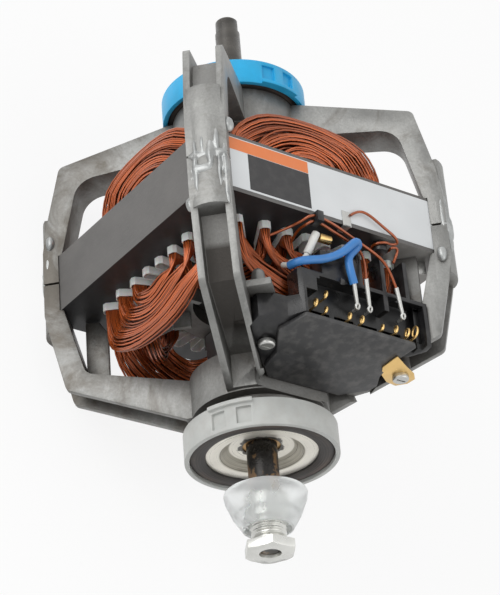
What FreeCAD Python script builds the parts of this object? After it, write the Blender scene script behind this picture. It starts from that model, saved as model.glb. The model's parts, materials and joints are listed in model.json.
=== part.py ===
import FreeCAD, Part
import math
import os
import types

import Sketcher
from FreeCAD import Placement, Rotation, Vector

# Split-phase drive motor of a tumble dryer, lying on its side with the wiring face up.
# The shaft runs along Y: the belt pulley is at the -Y end and the blower shaft at the +Y end.
# The origin is the centre of the mounting ring at the pulley end, on the shaft's axis.
# Four channel-shaped legs of each cast end frame stand on the diagonals of the square stack.

SIZES = (
    # Mounting rings and the whole length
    ("ring_radius", 31.75, "outside radius of both mounting rings, a 2.5 inch ring"),
    ("ring_wall", 2.0, "wall of a mounting ring"),
    ("ring_width", 12.0, "width of a mounting ring"),
    ("ring_span", 165.0, "from one ring's centre to the other's"),
    ("key_angle", 34.0, "arc of the locating key on a ring"),
    ("key_height", 1.6, "how far the key's ledge stands out"),
    ("key_ledge", 1.7, "width of the key's ledge"),
    ("key_pocket", 1.4, "depth of the two pockets beside the key's rib"),
    ("key_rib_angle", 9.0, "arc of the rib between the pockets"),
    # Stator
    ("stack_middle", 86.5, "from the pulley-end ring's centre to the middle of the stack"),
    ("stack_length", 27.0, "length of the laminated stack"),
    ("stack_side", 124.0, "side of the square lamination"),
    ("stator_bore", 36.4, "radius of the stator's bore"),
    ("slot_width", 5.0, "width of a slot"),
    ("slot_mouth", 2.4, "width of a slot's opening to the bore"),
    ("slot_lip", 1.9, "depth of the tooth tips"),
    ("slot_back", 49.6, "from the axis to the row of slot bottoms, which is square"),
    ("slot_deepest", 62.0, "radius that no slot passes"),
    ("liner_wall", 0.35, "wall of a slot liner"),
    ("liner_cuff", 3.4, "how far a liner stands out of the stack"),
    ("slot_clearance", 0.06, "gap between a slot and its liner"),
    # Windings
    ("strand_radius", 1.5, "radius of one bundle of turns"),
    ("turn_straight", 4.6, "straight run of a turn beyond the stack"),
    ("turn_bend", 27.5, "largest bend radius of an end turn"),
    # Cast end frames, the parts that both share
    ("leg_width", 16.5, "width of a leg across its two flanges"),
    ("flange_wall", 2.8, "wall of a leg's flange"),
    ("web_wall", 2.8, "wall of a leg's web"),
    ("leg_reach", 86.8, "from the axis to the outside of a foot"),
    ("foot_wall", 6.8, "wall of a foot, outside the flat on the stack's corner"),
    ("foot_gap", 1.0, "gap between the feet of the two frames"),
    ("foot_crown", 2.4, "how far a foot swells between its flanges"),
    ("hub_radius", 27.5, "outside radius of a hub"),
    ("arm_step", 0.6, "how far an arm starts behind the hub's shoulder"),
    ("nose_height", 2.7, "how far the nose stands past the ring's centre"),
    ("corner_round", 3.5, "round on a leg's outer corner"),
    # Blower end frame, depths from the ring's centre towards the stack
    ("blower_shoulder", 6.4, "depth of the hub's shoulder"),
    ("blower_hub_depth", 24.0, "depth of the hub's inner face"),
    ("blower_corner_inset", 8.3, "from the foot's outside in to a leg's outer corner"),
    ("blower_corner_depth", 20.1, "depth of a leg's outer corner"),
    ("blower_flare_inset", 1.6, "from the foot's outside in to the end of a leg's flare"),
    ("blower_flare_depth", 50.5, "depth where a leg's flare ends"),
    ("blower_window_inset", 16.3, "from the foot's outside in to the window's corner"),
    ("blower_window_depth", 28.3, "depth of the window's corner"),
    ("blower_window_round", 11.0, "round in the window's corner"),
    ("blower_boss_depth", 45.5, "depth where a leg's channel ends in its boss"),
    # Pulley end frame, depths from the ring's centre towards the stack
    ("pulley_shoulder", 12.4, "depth of the hub's shoulder"),
    ("pulley_hub_depth", 31.0, "depth of the hub's inner face"),
    ("pulley_corner_inset", 8.3, "from the foot's outside in to a leg's outer corner"),
    ("pulley_corner_depth", 34.5, "depth of a leg's outer corner"),
    ("pulley_flare_inset", 2.0, "from the foot's outside in to the end of a leg's flare"),
    ("pulley_flare_depth", 61.1, "depth where a leg's flare ends"),
    ("pulley_window_inset", 16.8, "from the foot's outside in to the window's corner"),
    ("pulley_window_depth", 41.0, "depth of the window's corner"),
    ("pulley_window_round", 5.0, "round in the window's corner"),
    ("pulley_boss_depth", 63.5, "depth where a leg's channel ends in its boss"),
    # Bearings and what the hubs hold
    ("bearing_ball", 11.0, "radius of the self-aligning bearing's ball"),
    ("bearing_half", 7.6, "half the length of the bearing"),
    ("bearing_depth", 8.0, "depth of the bearing's centre"),
    ("running_fit", 0.04, "radial gap between the shaft and its bearings"),
    ("cavity_radius", 13.5, "radius of the cavity round the bearing"),
    ("seat_fit", 0.1, "gap between a piece and its seat"),
    ("cap_wall", 0.8, "wall of the steel cap"),
    ("cap_face", 3.8, "height of the cap's rim past the ring's centre"),
    ("cap_land", 5.55, "width of the cap's flat rim"),
    ("cap_slope", 4.0, "width of the slope down to the cap's floor"),
    ("cap_sink", 3.4, "depth of the cap's dish"),
    ("cap_hole", 7.8, "radius of the hole for the shaft"),
    ("cushion_wall", 6.6, "thickness of the rubber cushion between cap and ring"),
    ("cushion_width", 9.2, "width of the rubber cushion"),
    # Shaft
    ("shaft_radius", 6.35, "radius of the shaft, half an inch across"),
    ("blower_end_radius", 5.55, "radius of the blower end of the shaft"),
    ("blower_end_start", 7.0, "where the blower end starts, past the blower ring's centre"),
    ("blower_end_length", 36.0, "length of the full round of the blower end"),
    ("flat_length", 7.0, "length of the shaft's flatted tip"),
    ("flat_depth", 2.0, "depth of the flat"),
    ("tip_step", 0.45, "how much thinner the tip is, on the radius"),
    ("pulley_seat_radius", 4.45, "radius of the shaft inside the pulley"),
    ("shaft_chamfer", 0.8, "chamfer on the shaft's ends"),
    # Belt pulley and its guide cone
    ("pulley_face", 47.5, "from the pulley-end ring's centre to the pulley's outer face"),
    ("hex_flats", 19.05, "across the flats of the pulley's hexagon, three quarters of an inch"),
    ("hex_thickness", 4.0, "thickness of the hexagon"),
    ("belt_radius", 7.3, "radius of the pulley's ribbed drum"),
    ("belt_length", 10.0, "length of the ribbed drum"),
    ("groove_pitch", 2.0, "pitch of the belt grooves"),
    ("groove_depth", 1.0, "depth of a belt groove"),
    ("collar_radius", 9.2, "radius of the pulley's collar"),
    ("collar_length", 10.0, "length of the pulley's collar"),
    ("cone_rim", 17.0, "radius of the guide cone's rim"),
    ("cone_small", 10.4, "radius of the guide cone's small end"),
    ("cone_lap", 3.5, "how far the cone reaches over the ribbed drum"),
    ("cone_length", 15.7, "length of the guide cone"),
    ("cone_wall", 1.3, "wall of the guide cone"),
    # Rotor
    ("rotor_radius", 36.0, "radius of the rotor core"),
    ("end_ring_inner", 24.0, "inner radius of the cast end rings"),
    ("end_ring_outer", 34.4, "outer radius of the cast end rings"),
    ("end_ring_length", 6.0, "length of a cast end ring"),
    ("blade_length", 7.0, "length of a fan blade"),
    ("blade_wall", 2.2, "thickness of a fan blade"),
    # Centrifugal governor and starting switch
    ("plate_seat", 60.0, "where the governor plate's back face is"),
    ("plate_wall", 2.0, "thickness of the governor plate"),
    ("ear_gap", 13.0, "gap between the two ears of a weight"),
    ("weight_pivot", 18.0, "from the axis to a weight's pivot"),
    ("weight_station", 44.2, "where the weights' pivots are along the shaft"),
    ("weight_width", 12.0, "width of a weight"),
    ("pivot_radius", 1.2, "radius of a pivot pin"),
    ("spool_bore_fit", 0.05, "radial gap between the spool and the shaft"),
    ("spool_radius", 9.0, "radius of the spool's barrel"),
    ("spool_disc", 15.0, "radius of the disc that the lever rests on"),
    ("spool_flange", 12.0, "radius of the flanges beside the weights' toes"),
    ("spool_front", 36.0, "where the spool's disc starts"),
    ("spool_travel", 3.0, "how far the spool slides"),
    ("toe_wall", 1.6, "thickness of a weight's toe"),
    ("toe_play", 0.95, "gap between a toe and each flange"),
    ("spring_wire", 0.5, "radius of the governor spring's wire"),
    ("spring_radius", 10.0, "radius of the governor spring's coils"),
    ("spring_curls", 5.0, "curls of the governor spring"),
    # Switch box on the pulley end frame
    ("switch_top", 59.5, "height of the switch cover's upper edge above the axis"),
    ("switch_station", 26.5, "where that edge is along the shaft"),
    ("switch_tilt", 12.8, "tilt of the switch cover"),
    ("cover_wall", 2.2, "wall of the switch cover"),
    ("chamber_back", 36.5, "where the switch chamber's inner wall is"),
    ("shelf_back", 48.5, "where the terminal shelf ends"),
    ("shelf_floor", 50.8, "height of the terminal shelf's underside"),
    ("fin_back", 65.5, "where the fins between the terminals end"),
    ("fin_wall", 2.0, "thickness of a fin"),
    ("pocket_pitch", 12.0, "pitch of the terminal pockets"),
    ("pocket_width", 9.6, "width of a terminal pocket"),
    ("pocket_floor", 53.0, "height of a terminal pocket's floor"),
    ("lever_height", 28.5, "height of the lever's pivot above the axis"),
    ("lever_station", 30.5, "where the lever's pivot is along the shaft"),
    ("lever_width", 8.0, "width of the lever"),
    ("lever_wall", 1.6, "thickness of the lever"),
    ("lever_tip", 9.0, "height of the lever's tip above the axis"),
    ("rest_gap", 0.3, "gap between pieces that rest on each other but move"),
    ("screw_radius", 1.9, "radius of a switch screw's shank"),
    ("screw_head_radius", 3.4, "radius of a switch screw's head"),
    ("screw_head", 2.3, "height of a switch screw's head"),
    ("strap_wall", 0.8, "thickness of the earth strap"),
)

os.makedirs("parts", exist_ok=True)
doc = FreeCAD.newDocument("dryer_motor")
sheet = doc.addObject("Spreadsheet::Sheet", "Sizes")
for row, (alias, number, meaning) in enumerate(SIZES, 1):
    sheet.set(f"A{row}", meaning)
    sheet.set(f"B{row}", str(number))
    sheet.setAlias(f"B{row}", alias)
doc.recompute()


class Size:
    """A number from the sheet, or one worked out from such numbers, with its formula."""

    def __init__(self, value, formula):
        self.value = float(value)
        self.formula = formula

    def __add__(self, other):
        other = as_size(other)
        return Size(self.value + other.value, f"({self.formula} + {other.formula})")

    def __radd__(self, other):
        return as_size(other) + self

    def __sub__(self, other):
        other = as_size(other)
        return Size(self.value - other.value, f"({self.formula} - {other.formula})")

    def __rsub__(self, other):
        return as_size(other) - self

    def __mul__(self, other):
        other = as_size(other)
        return Size(self.value * other.value, f"({self.formula} * {other.formula})")

    def __rmul__(self, other):
        return as_size(other) * self

    def __truediv__(self, other):
        other = as_size(other)
        return Size(self.value / other.value, f"({self.formula} / {other.formula})")

    def __neg__(self):
        return Size(-self.value, f"(0 - {self.formula})")

    def __float__(self):
        return self.value


def as_size(number):
    """A plain number as a Size."""
    if isinstance(number, Size):
        return number
    return Size(number, f"({float(number)!r})")


S = types.SimpleNamespace(**{alias: Size(sheet.get(alias), f"Sizes.{alias}") for alias, _, _ in SIZES})

# Sizes that follow from others, so that what seats together stays together
S.cap_radius = S.ring_radius - S.ring_wall - S.cushion_wall
S.nose_radius = S.cap_radius - 0.95
S.cap_dish = S.cap_radius - S.cap_land
S.cap_floor = S.cap_dish - S.cap_slope
S.stack_corner = S.leg_reach - S.foot_wall
S.blower_corner_reach = S.leg_reach - S.blower_corner_inset
S.blower_flare_reach = S.leg_reach - S.blower_flare_inset
S.blower_window_reach = S.leg_reach - S.blower_window_inset
S.pulley_corner_reach = S.leg_reach - S.pulley_corner_inset
S.pulley_flare_reach = S.leg_reach - S.pulley_flare_inset
S.pulley_window_reach = S.leg_reach - S.pulley_window_inset

PARTS = []
X = Vector(1, 0, 0)
Y = Vector(0, 1, 0)
Z = Vector(0, 0, 1)


# Helpers


def node(obj, label):
    """Names an object as one of the motor's pieces."""
    obj.Label = label
    PARTS.append(obj)
    return obj


def bind(obj, **values):
    """Ties properties of an object to the sheet."""
    for name, value in values.items():
        obj.setExpression(name.replace("__", "."), as_size(value).formula)
    return obj


def new_body(name):
    """An empty body."""
    return doc.addObject("PartDesign::Body", name)


def origin_part(body, role):
    """A plane or an axis of a body's own origin."""
    return next(part for part in body.Origin.OriginFeatures if part.Role == role)


def outline(body, name, plane, points):
    """A sketch of one closed outline, each corner tied to the sheet."""
    sketch = body.newObject("Sketcher::SketchObject", name)
    sketch.AttachmentSupport = [(origin_part(body, plane), "")]
    sketch.MapMode = "FlatFace"
    corners = [(as_size(across), as_size(along)) for across, along in points]
    places = [Vector(float(across), float(along), 0) for across, along in corners]
    for index, place in enumerate(places):
        sketch.addGeometry(Part.LineSegment(place, places[(index + 1) % len(places)]), False)
    for index in range(len(places)):
        sketch.addConstraint(Sketcher.Constraint("Coincident", index, 2, (index + 1) % len(places), 1))
    for index, (across, along) in enumerate(corners):
        for kind, value in (("DistanceX", across), ("DistanceY", along)):
            number = sketch.addConstraint(Sketcher.Constraint(kind, -1, 1, index, 1, float(value)))
            sketch.setExpression(f"Constraints[{number}]", value.formula)
    return sketch


def turn(body, name, points, angle=360.0, cut=False, centred=False):
    """An outline turned about the body's Y axis, added or cut away."""
    kind = "PartDesign::Groove" if cut else "PartDesign::Revolution"
    sketch = outline(body, name + "_outline", "XY_Plane", points)
    feature = body.newObject(kind, name)
    feature.Profile = sketch
    feature.ReferenceAxis = (sketch, ["V_Axis"])
    feature.Midplane = centred
    bind(feature, Angle=angle)
    return feature


def pad(body, name, plane, points, length, symmetric=False, reversed_way=False):
    """An outline drawn out square to its plane."""
    feature = body.newObject("PartDesign::Pad", name)
    feature.Profile = outline(body, name + "_outline", plane, points)
    feature.SideType = "Symmetric" if symmetric else "One side"
    feature.Reversed = reversed_way
    bind(feature, Length=length)
    return feature


def pocket(body, name, plane, points, length):
    """An outline cut away to both sides of its plane."""
    feature = body.newObject("PartDesign::Pocket", name)
    feature.Profile = outline(body, name + "_outline", plane, points)
    feature.SideType = "Symmetric"
    bind(feature, Length=length)
    return feature


def rounded(body, name, base, radius, test):
    """Rounds the edges of a feature whose middle passes a test."""
    doc.recompute()
    edges = [f"Edge{i}" for i, edge in enumerate(base.Shape.Edges, 1) if test(edge)]
    if not edges:
        raise RuntimeError(f"{name}: no edge to round")
    feature = body.newObject("PartDesign::Fillet", name)
    feature.Base = (base, edges)
    bind(feature, Radius=radius)
    return feature


def turned_piece(label, points):
    """A piece that is one outline turned about the shaft's axis."""
    body = new_body(label)
    turn(body, label + "_turned", points)
    return node(body, label)


def cylinder(name, radius, height, base, axis=Y):
    """A cylinder whose radius, height and base are tied to the sheet."""
    obj = doc.addObject("Part::Cylinder", name)
    bind(obj, Radius=radius, Height=height)
    obj.Placement = Placement(Vector(*[float(part) for part in base]), Rotation(Z, axis))
    bind(obj, Placement__Base__x=base[0], Placement__Base__y=base[1], Placement__Base__z=base[2])
    return obj


def box(name, low, high):
    """A box between two corners that are tied to the sheet."""
    obj = doc.addObject("Part::Box", name)
    sides = [as_size(b) - as_size(a) for a, b in zip(low, high)]
    bind(obj, Length=sides[0], Width=sides[1], Height=sides[2])
    bind(obj, Placement__Base__x=low[0], Placement__Base__y=low[1], Placement__Base__z=low[2])
    return obj


def fuse(name, pieces):
    """Several solids as one."""
    obj = doc.addObject("Part::MultiFuse", name)
    obj.Shapes = pieces
    obj.Refine = False
    return obj


def cut(name, base, tools):
    """A solid with several others cut out of it."""
    tool = tools[0]
    if len(tools) > 1:
        tool = fuse(name + "_tools", tools)
    obj = doc.addObject("Part::Cut", name)
    obj.Base = base
    obj.Tool = tool
    obj.Refine = False
    return obj


def shaped(label, solids):
    """A piece, or a group of like pieces, whose solids are worked out here from the sheet."""
    obj = doc.addObject("Part::Feature", label)
    obj.Shape = solids[0] if len(solids) == 1 else Part.makeCompound(solids)
    return node(obj, label)


def prism(points, low, high):
    """A solid with a plan outline in X and Z, from one station along the shaft to another."""
    corners = [Vector(float(across), float(low), float(up)) for across, up in points]
    face = Part.Face(Part.makePolygon(corners + corners[:1]))
    return face.extrude(Vector(0, float(high) - float(low), 0))


def strip(points, low, high):
    """A solid with a side outline in Y and Z, from one X to another."""
    corners = [Vector(float(low), float(along), float(up)) for along, up in points]
    face = Part.Face(Part.makePolygon(corners + corners[:1]))
    return face.extrude(Vector(float(high) - float(low), 0, 0))


def around(solid, angle):
    """A copy turned about the shaft's axis, from +X towards +Z."""
    copy = solid.copy()
    copy.rotate(Vector(0, 0, 0), Y, -angle)
    return copy


def at_end(obj, end, turned=0.0):
    """Puts a piece that was drawn with its ring's centre at zero, +Y outward, at its end."""
    spin = Rotation(Y, -turned)
    if end == "pulley":
        obj.Placement = Placement(Vector(0, 0, 0), Rotation(Y, turned) * Rotation(Z, 180))
    else:
        obj.Placement = Placement(Vector(0, float(S.ring_span), 0), spin)
        bind(obj, Placement__Base__y=S.ring_span)
    return obj


# Places worked out from the sizes

stack_front = S.stack_middle - S.stack_length / 2
stack_rear = S.stack_middle + S.stack_length / 2
STACK_DEPTH = {"pulley": stack_front, "blower": S.ring_span - stack_rear}
MIDDLE_DEPTH = {"pulley": S.stack_middle, "blower": S.ring_span - S.stack_middle}
ENDS = ("pulley", "blower")
tilt = math.radians(float(S.switch_tilt))
lean = math.tan(tilt)


def on_plane(up, inward=0.0):
    """Where a plane parallel to the switch cover is along the shaft, at a height."""
    return float(S.switch_station) - (float(S.switch_top) - up) * lean + inward / math.cos(tilt)


def end_size(end, name):
    """A size that each end frame has for itself."""
    return getattr(S, f"{end}_{name}")


# End frames: a channel-shaped leg, patterned four times, on a turned hub

CROWN = ((-1.0, -0.38), (-0.72, 0.08), (-0.36, 0.42), (0.0, 0.55), (0.36, 0.42), (0.72, 0.08), (1.0, -0.38))


def crown_points():
    """The swell of a foot between its flanges, across the leg, with its root inside the foot."""
    half = S.leg_width / 2 - 1.2
    arc = [(S.leg_reach + S.foot_crown * height, half * share) for share, height in CROWN]
    root = S.leg_reach - S.foot_wall / 2
    return [(root, -half)] + arc + [(root, half)]


def frame_casting(end):
    """The casting before the switch's bosses, drawn with its legs along X and Z."""
    body = new_body(f"{end}_casting")
    stack = STACK_DEPTH[end]
    foot_end = MIDDLE_DEPTH[end] - S.foot_gap / 2
    foot_inside = S.stack_corner + S.seat_fit
    root = S.nose_radius - 2
    arm_depth = end_size(end, "shoulder") + S.arm_step
    arm_inside = end_size(end, "hub_depth") - S.arm_step
    slope_in = (end_size(end, "window_depth") - arm_inside) / (end_size(end, "window_reach") - S.hub_radius)
    leg = pad(body, "leg", "XY_Plane", [
        (root, -arm_depth),
        (S.hub_radius + 1, -arm_depth),
        (end_size(end, "corner_reach"), -end_size(end, "corner_depth")),
        (end_size(end, "flare_reach"), -end_size(end, "flare_depth")),
        (S.leg_reach, -stack + 2),
        (S.leg_reach, -foot_end),
        (foot_inside, -foot_end),
        (foot_inside, -stack + S.seat_fit),
        (S.stack_corner - 1.5, -stack + S.seat_fit),
        (end_size(end, "window_reach"), -end_size(end, "window_depth")),
        (root, -arm_inside + slope_in * (S.hub_radius - root)),
    ], S.leg_width, symmetric=True)

    def outer_corner(edge):
        middle = edge.CenterOfMass
        return (abs(middle.x - float(end_size(end, "corner_reach"))) < 0.01
                and abs(middle.y + float(end_size(end, "corner_depth"))) < 0.01)

    def window_corner(edge):
        middle = edge.CenterOfMass
        return (abs(middle.x - float(end_size(end, "window_reach"))) < 0.01
                and abs(middle.y + float(end_size(end, "window_depth"))) < 0.01)

    leg = rounded(body, "outer_round", leg, S.corner_round, outer_corner)
    leg = rounded(body, "window_round", leg, end_size(end, "window_round"), window_corner)
    channel_start = S.hub_radius + 1.5
    past_leg = S.leg_reach + 10
    floor = arm_inside - S.web_wall
    pocket(body, "channel", "XY_Plane", [
        (channel_start, -floor - slope_in * (channel_start - S.hub_radius)),
        (channel_start, 10.0),
        (past_leg, 10.0),
        (past_leg, -end_size(end, "boss_depth")),
        (S.stack_corner - 1.5, -end_size(end, "boss_depth")),
        (end_size(end, "window_reach") + S.web_wall - 1, -end_size(end, "window_depth") + S.web_wall + 1),
    ], S.leg_width - 2 * S.flange_wall)
    crown_start = end_size(end, "boss_depth")
    crown = pad(body, "foot_crown", "XZ_Plane", crown_points(), foot_end - crown_start)
    crown.Profile[0].AttachmentOffset = Placement(Vector(0, 0, float(crown_start)), Rotation())
    bind(crown.Profile[0], AttachmentOffset__Base__z=crown_start)
    pattern = body.newObject("PartDesign::PolarPattern", "four_legs")
    pattern.TransformMode = "Whole shape"
    pattern.Axis = (origin_part(body, "Y_Axis"), [""])
    pattern.Angle = 360
    pattern.Occurrences = 4
    body.Tip = pattern
    doc.recompute()
    pocket_depth = S.bearing_depth + S.bearing_half + 1
    cavity_floor = S.bearing_depth + 2
    turn(body, "hub", [
        (S.bearing_ball + 1.5, -pocket_depth),
        (S.bearing_ball + 1.5, -end_size(end, "hub_depth")),
        (S.hub_radius, -end_size(end, "hub_depth")),
        (S.hub_radius, -end_size(end, "shoulder")),
        (S.nose_radius, -end_size(end, "shoulder")),
        (S.nose_radius, S.nose_height),
        (S.cap_dish + 0.8, S.nose_height),
        (S.cap_dish + 0.8, S.cap_face - S.cap_sink - S.cap_wall - 0.4),
        (S.cavity_radius, S.cap_face - S.cap_sink - S.cap_wall - 0.4),
        (S.cavity_radius, -cavity_floor),
        (S.bearing_ball + 0.2, -cavity_floor),
        (S.bearing_ball - 1.8, -cavity_floor - 4.6),
        (S.bearing_ball - 2.4, -pocket_depth),
    ])
    return body


blower_casting = frame_casting("blower")
at_end(blower_casting, "blower", 45.0)
node(blower_casting, "blower_end_frame")

pulley_casting = frame_casting("pulley")
at_end(pulley_casting, "pulley", 45.0)

# Directions of the two upper legs: the near leg points to -X +Z, the far one to +X +Z
NEAR_ANGLE = 135.0
FAR_ANGLE = 45.0
near_screw = (-22.5, 38.5)
far_screw = (42.0, 42.0)
far_boss_top = S.switch_station - 3.2


def along_leg(angle, out, side):
    """A place beside a leg: out along it from the axis, side towards the other upper leg."""
    turned = math.radians(angle)
    towards = 1 if angle > 90 else -1
    return (out * math.cos(turned) + side * towards * math.sin(turned),
            out * math.sin(turned) - side * towards * math.cos(turned))


def leg_block(name, angle, out, side, width, low, high):
    """A block that grows sideways out of a leg's flank."""
    block = doc.addObject("Part::Box", name)
    block.Length = width
    block.Width = high - low
    block.Height = side
    beside = -side if angle > 90 else 0
    block.Placement = Placement(Vector(0, low, 0), Rotation(Y, -angle)).multiply(
        Placement(Vector(out - width / 2, 0, beside), Rotation()))
    return block


def switch_mounts():
    """The ear, the two bosses and the cast post that carry the switch."""
    ear = leg_block("ear", NEAR_ANGLE, 60.0, 18.0, 11.0, 36.8, 39.6)
    post_x, post_z = along_leg(NEAR_ANGLE, 60.0, 12.5)
    post = doc.addObject("Part::Cone", "post")
    post.Radius1 = 3.6
    post.Radius2 = 2.6
    post.Height = 5.0
    post.Placement = Placement(Vector(post_x, 39.6, post_z), Rotation(Z, Y))
    dome = doc.addObject("Part::Sphere", "post_dome")
    dome.Radius = 2.6
    dome.Placement = Placement(Vector(post_x, 44.6, post_z), Rotation())
    near_boss = cylinder("near_boss", 4.4, 5.9, (near_screw[0], S.chamber_back + S.seat_fit, near_screw[1]))
    near_web = leg_block("near_web", NEAR_ANGLE, 43.1, 10.0, 6.0, 36.8, 42.2)
    near_rib = leg_block("near_rib", NEAR_ANGLE, 43.1, 6.3, 10.0, 31.0, 42.2)
    far_boss = cylinder("far_boss", 4.6, 14.0, (far_screw[0], far_boss_top, far_screw[1]))
    return [ear, post, dome, near_boss, near_web, near_rib, far_boss]


def switch_seat():
    """Clears the far arm and the hub's upper side where the tilted switch cover lies over them."""
    seat = doc.addObject("Part::Box", "switch_seat")
    seat.Length = 56.0
    seat.Width = 20.0
    seat.Height = 39.5
    place = Placement(Vector(0, float(S.switch_station), float(S.switch_top)),
                      Rotation(X, -float(S.switch_tilt)))
    seat.Placement = place.multiply(
        Placement(Vector(-17.9, float(S.cover_wall) + 0.3 - 20.0, -38.0), Rotation()))
    return seat


hub_flat = box("hub_flat", (-14.7, 17.0, 24.2), (14.7, S.pulley_hub_depth + 1, S.hub_radius + 1))
lever_notch = box("lever_notch", (-S.lever_width / 2 - 1.6, S.lever_station - 4.2, 18.0),
                  (S.lever_width / 2 + 1.6, S.pulley_hub_depth + 1, S.hub_radius + 1))
chamber_room = doc.addObject("Part::Feature", "chamber_room")
chamber_room.Shape = prism([(-18.0, 60.5), (46.0, 60.5), (46.0, 55.8), (14.4, 24.2), (-14.4, 24.2), (-34.4, 44.2),
                            (-34.4, 50.3), (-27.0, 54.5), (-22.5, 60.5)],
                           on_plane(24.0) - 2.3, S.chamber_back + 0.35)
shelf_room = doc.addObject("Part::Feature", "shelf_room")
shelf_room.Shape = prism([(-19.3, 50.5), (40.5, 50.5), (46.0, 56.0), (46.0, 60.5), (-19.3, 60.5)],
                         S.chamber_back, S.shelf_back + 0.35)
seated = cut("pulley_casting_seated", pulley_casting,
             [switch_seat(), hub_flat, lever_notch, chamber_room, shelf_room])
with_mounts = fuse("pulley_casting_bosses", [seated] + switch_mounts())
near_hole = cylinder("near_hole", S.screw_radius + 0.05, 6.2, (near_screw[0], S.chamber_back - 1, near_screw[1]))
far_hole = cylinder("far_hole", S.screw_radius + 0.05, 9.0, (far_screw[0], far_boss_top - 1, far_screw[1]))
node(cut("pulley_end_frame", with_mounts, [near_hole, far_hole]), "pulley_end_frame")


# What each hub carries


def mounting_ring(end, turned):
    """The plastic ring with its locating key: a ledge, two pockets and a rib."""
    label = f"{end}_end_ring"
    body = new_body(label)
    half = S.ring_width / 2
    inside = S.ring_radius - S.ring_wall
    turn(body, "ring", [(inside, -half), (S.ring_radius, -half), (S.ring_radius, half), (inside, half)])
    pocket_radius = S.ring_radius - S.key_pocket
    pocket_outline = [(pocket_radius, -half + 3), (S.ring_radius + 1, -half + 3),
                      (S.ring_radius + 1, half - 2), (pocket_radius, half - 2)]
    turn(body, "key_pockets", pocket_outline, S.key_angle - 3, cut=True, centred=True)
    rib_outline = [(pocket_radius - 0.2, -half + 2), (S.ring_radius, -half + 2),
                   (S.ring_radius, half - 1), (pocket_radius - 0.2, half - 1)]
    turn(body, "key_rib", rib_outline, S.key_rib_angle, centred=True)
    ledge_outline = [(inside + 0.4, -half), (S.ring_radius + S.key_height, -half),
                     (S.ring_radius + S.key_height, -half + S.key_ledge), (inside + 0.4, -half + S.key_ledge)]
    turn(body, "key_ledge", ledge_outline, S.key_angle, centred=True)
    at_end(body, end, turned)
    node(body, label)


def cushion(end):
    """The rubber between the ring and the cap, bulging a little at both faces."""
    inside = S.cap_radius + 0.04
    outside = S.ring_radius - S.ring_wall - 0.04
    half = S.cushion_width / 2
    piece = turned_piece(f"{end}_end_cushion", [
        (inside, -half), (inside + 1.5, -half - 0.5), (outside - 1.5, -half - 0.5), (outside, -half),
        (outside, half), (outside - 1.5, half + 0.5), (inside + 1.5, half + 0.5), (inside, half)])
    at_end(piece, end)


def cap(end):
    """The pressed steel cap that closes the hub and carries the cushion."""
    floor_top = S.cap_face - S.cap_sink
    piece = turned_piece(f"{end}_end_cap", [
        (S.cap_hole, floor_top), (S.cap_floor, floor_top), (S.cap_dish, S.cap_face),
        (S.cap_radius, S.cap_face), (S.cap_radius, -4.8), (S.cap_radius - S.cap_wall, -4.8),
        (S.cap_radius - S.cap_wall, S.cap_face - S.cap_wall), (S.cap_dish + 0.4, S.cap_face - S.cap_wall),
        (S.cap_floor + 0.4, floor_top - S.cap_wall), (S.cap_hole, floor_top - S.cap_wall)])
    at_end(piece, end)


def bearing(end):
    """The self-aligning bronze bearing: a ball cut off square, drawn as five bands."""
    ball = S.bearing_ball
    half = S.bearing_half
    middle = -S.bearing_depth
    bore = S.shaft_radius + S.running_fit
    piece = turned_piece(f"{end}_end_bearing", [
        (bore, middle - half), (ball * 0.723, middle - half), (ball * 0.9, middle - ball * 0.43),
        (ball * 0.99, middle - ball * 0.14), (ball * 0.99, middle + ball * 0.14),
        (ball * 0.9, middle + ball * 0.43), (ball * 0.723, middle + half), (bore, middle + half)])
    at_end(piece, end)


def bearing_trim(end):
    """The oil felt and the spring retainer in front of the bearing."""
    felt = turned_piece(f"{end}_end_felt", [
        (S.bearing_ball - 0.3, -4.4), (S.cavity_radius - 0.1, -4.4),
        (S.cavity_radius - 0.1, -2.2), (S.bearing_ball - 1.4, -2.2)])
    at_end(felt, end)
    retainer = turned_piece(f"{end}_end_retainer", [
        (S.bearing_ball - 1.9, -1.9), (S.cavity_radius - 0.1, -1.9),
        (S.cavity_radius - 0.1, -1.3), (S.bearing_ball - 1.9, -1.3)])
    at_end(retainer, end)


KEY_TURNS = {"pulley": 32.0, "blower": 86.0}
for end in ENDS:
    mounting_ring(end, KEY_TURNS[end])
    cushion(end)
    cap(end)
    bearing(end)
    bearing_trim(end)


# Stator: the stack, its liners and the windings

SLOT_STEP = 11.25
SLOT_ANGLES = [SLOT_STEP * (index + 0.5) for index in range(4)]
FACE_ANGLES = (0.0, 90.0, 180.0, 270.0)


def slot_bottom(angle):
    """Radius of a slot's bottom: the bottoms lie on a square, cut off at the corners."""
    return min(float(S.slot_back) / math.cos(math.radians(angle)), float(S.slot_deepest))


def slot_outline(angle, margin, opened):
    """A slot's plan outline, drawn along X, with a chamfered bottom."""
    half = float(S.slot_width) / 2 - margin
    bottom = slot_bottom(angle) - margin
    neck = float(S.stator_bore) + float(S.slot_lip) + margin
    points = [(neck, -half), (bottom - half / 2, -half), (bottom, -half / 2),
              (bottom, half / 2), (bottom - half / 2, half), (neck, half)]
    if opened:
        mouth = float(S.slot_mouth) / 2
        inside = float(S.stator_bore) - 2
        points += [(neck - 1, mouth), (inside, mouth), (inside, -mouth), (neck - 1, -mouth)]
    return points


def each_slot(make):
    """One solid for each slot, made along X and then turned into place."""
    solids = []
    for face in FACE_ANGLES:
        for angle in SLOT_ANGLES:
            for sign in (-1, 1):
                solids.append(around(make(angle), face + sign * angle))
    return solids


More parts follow.
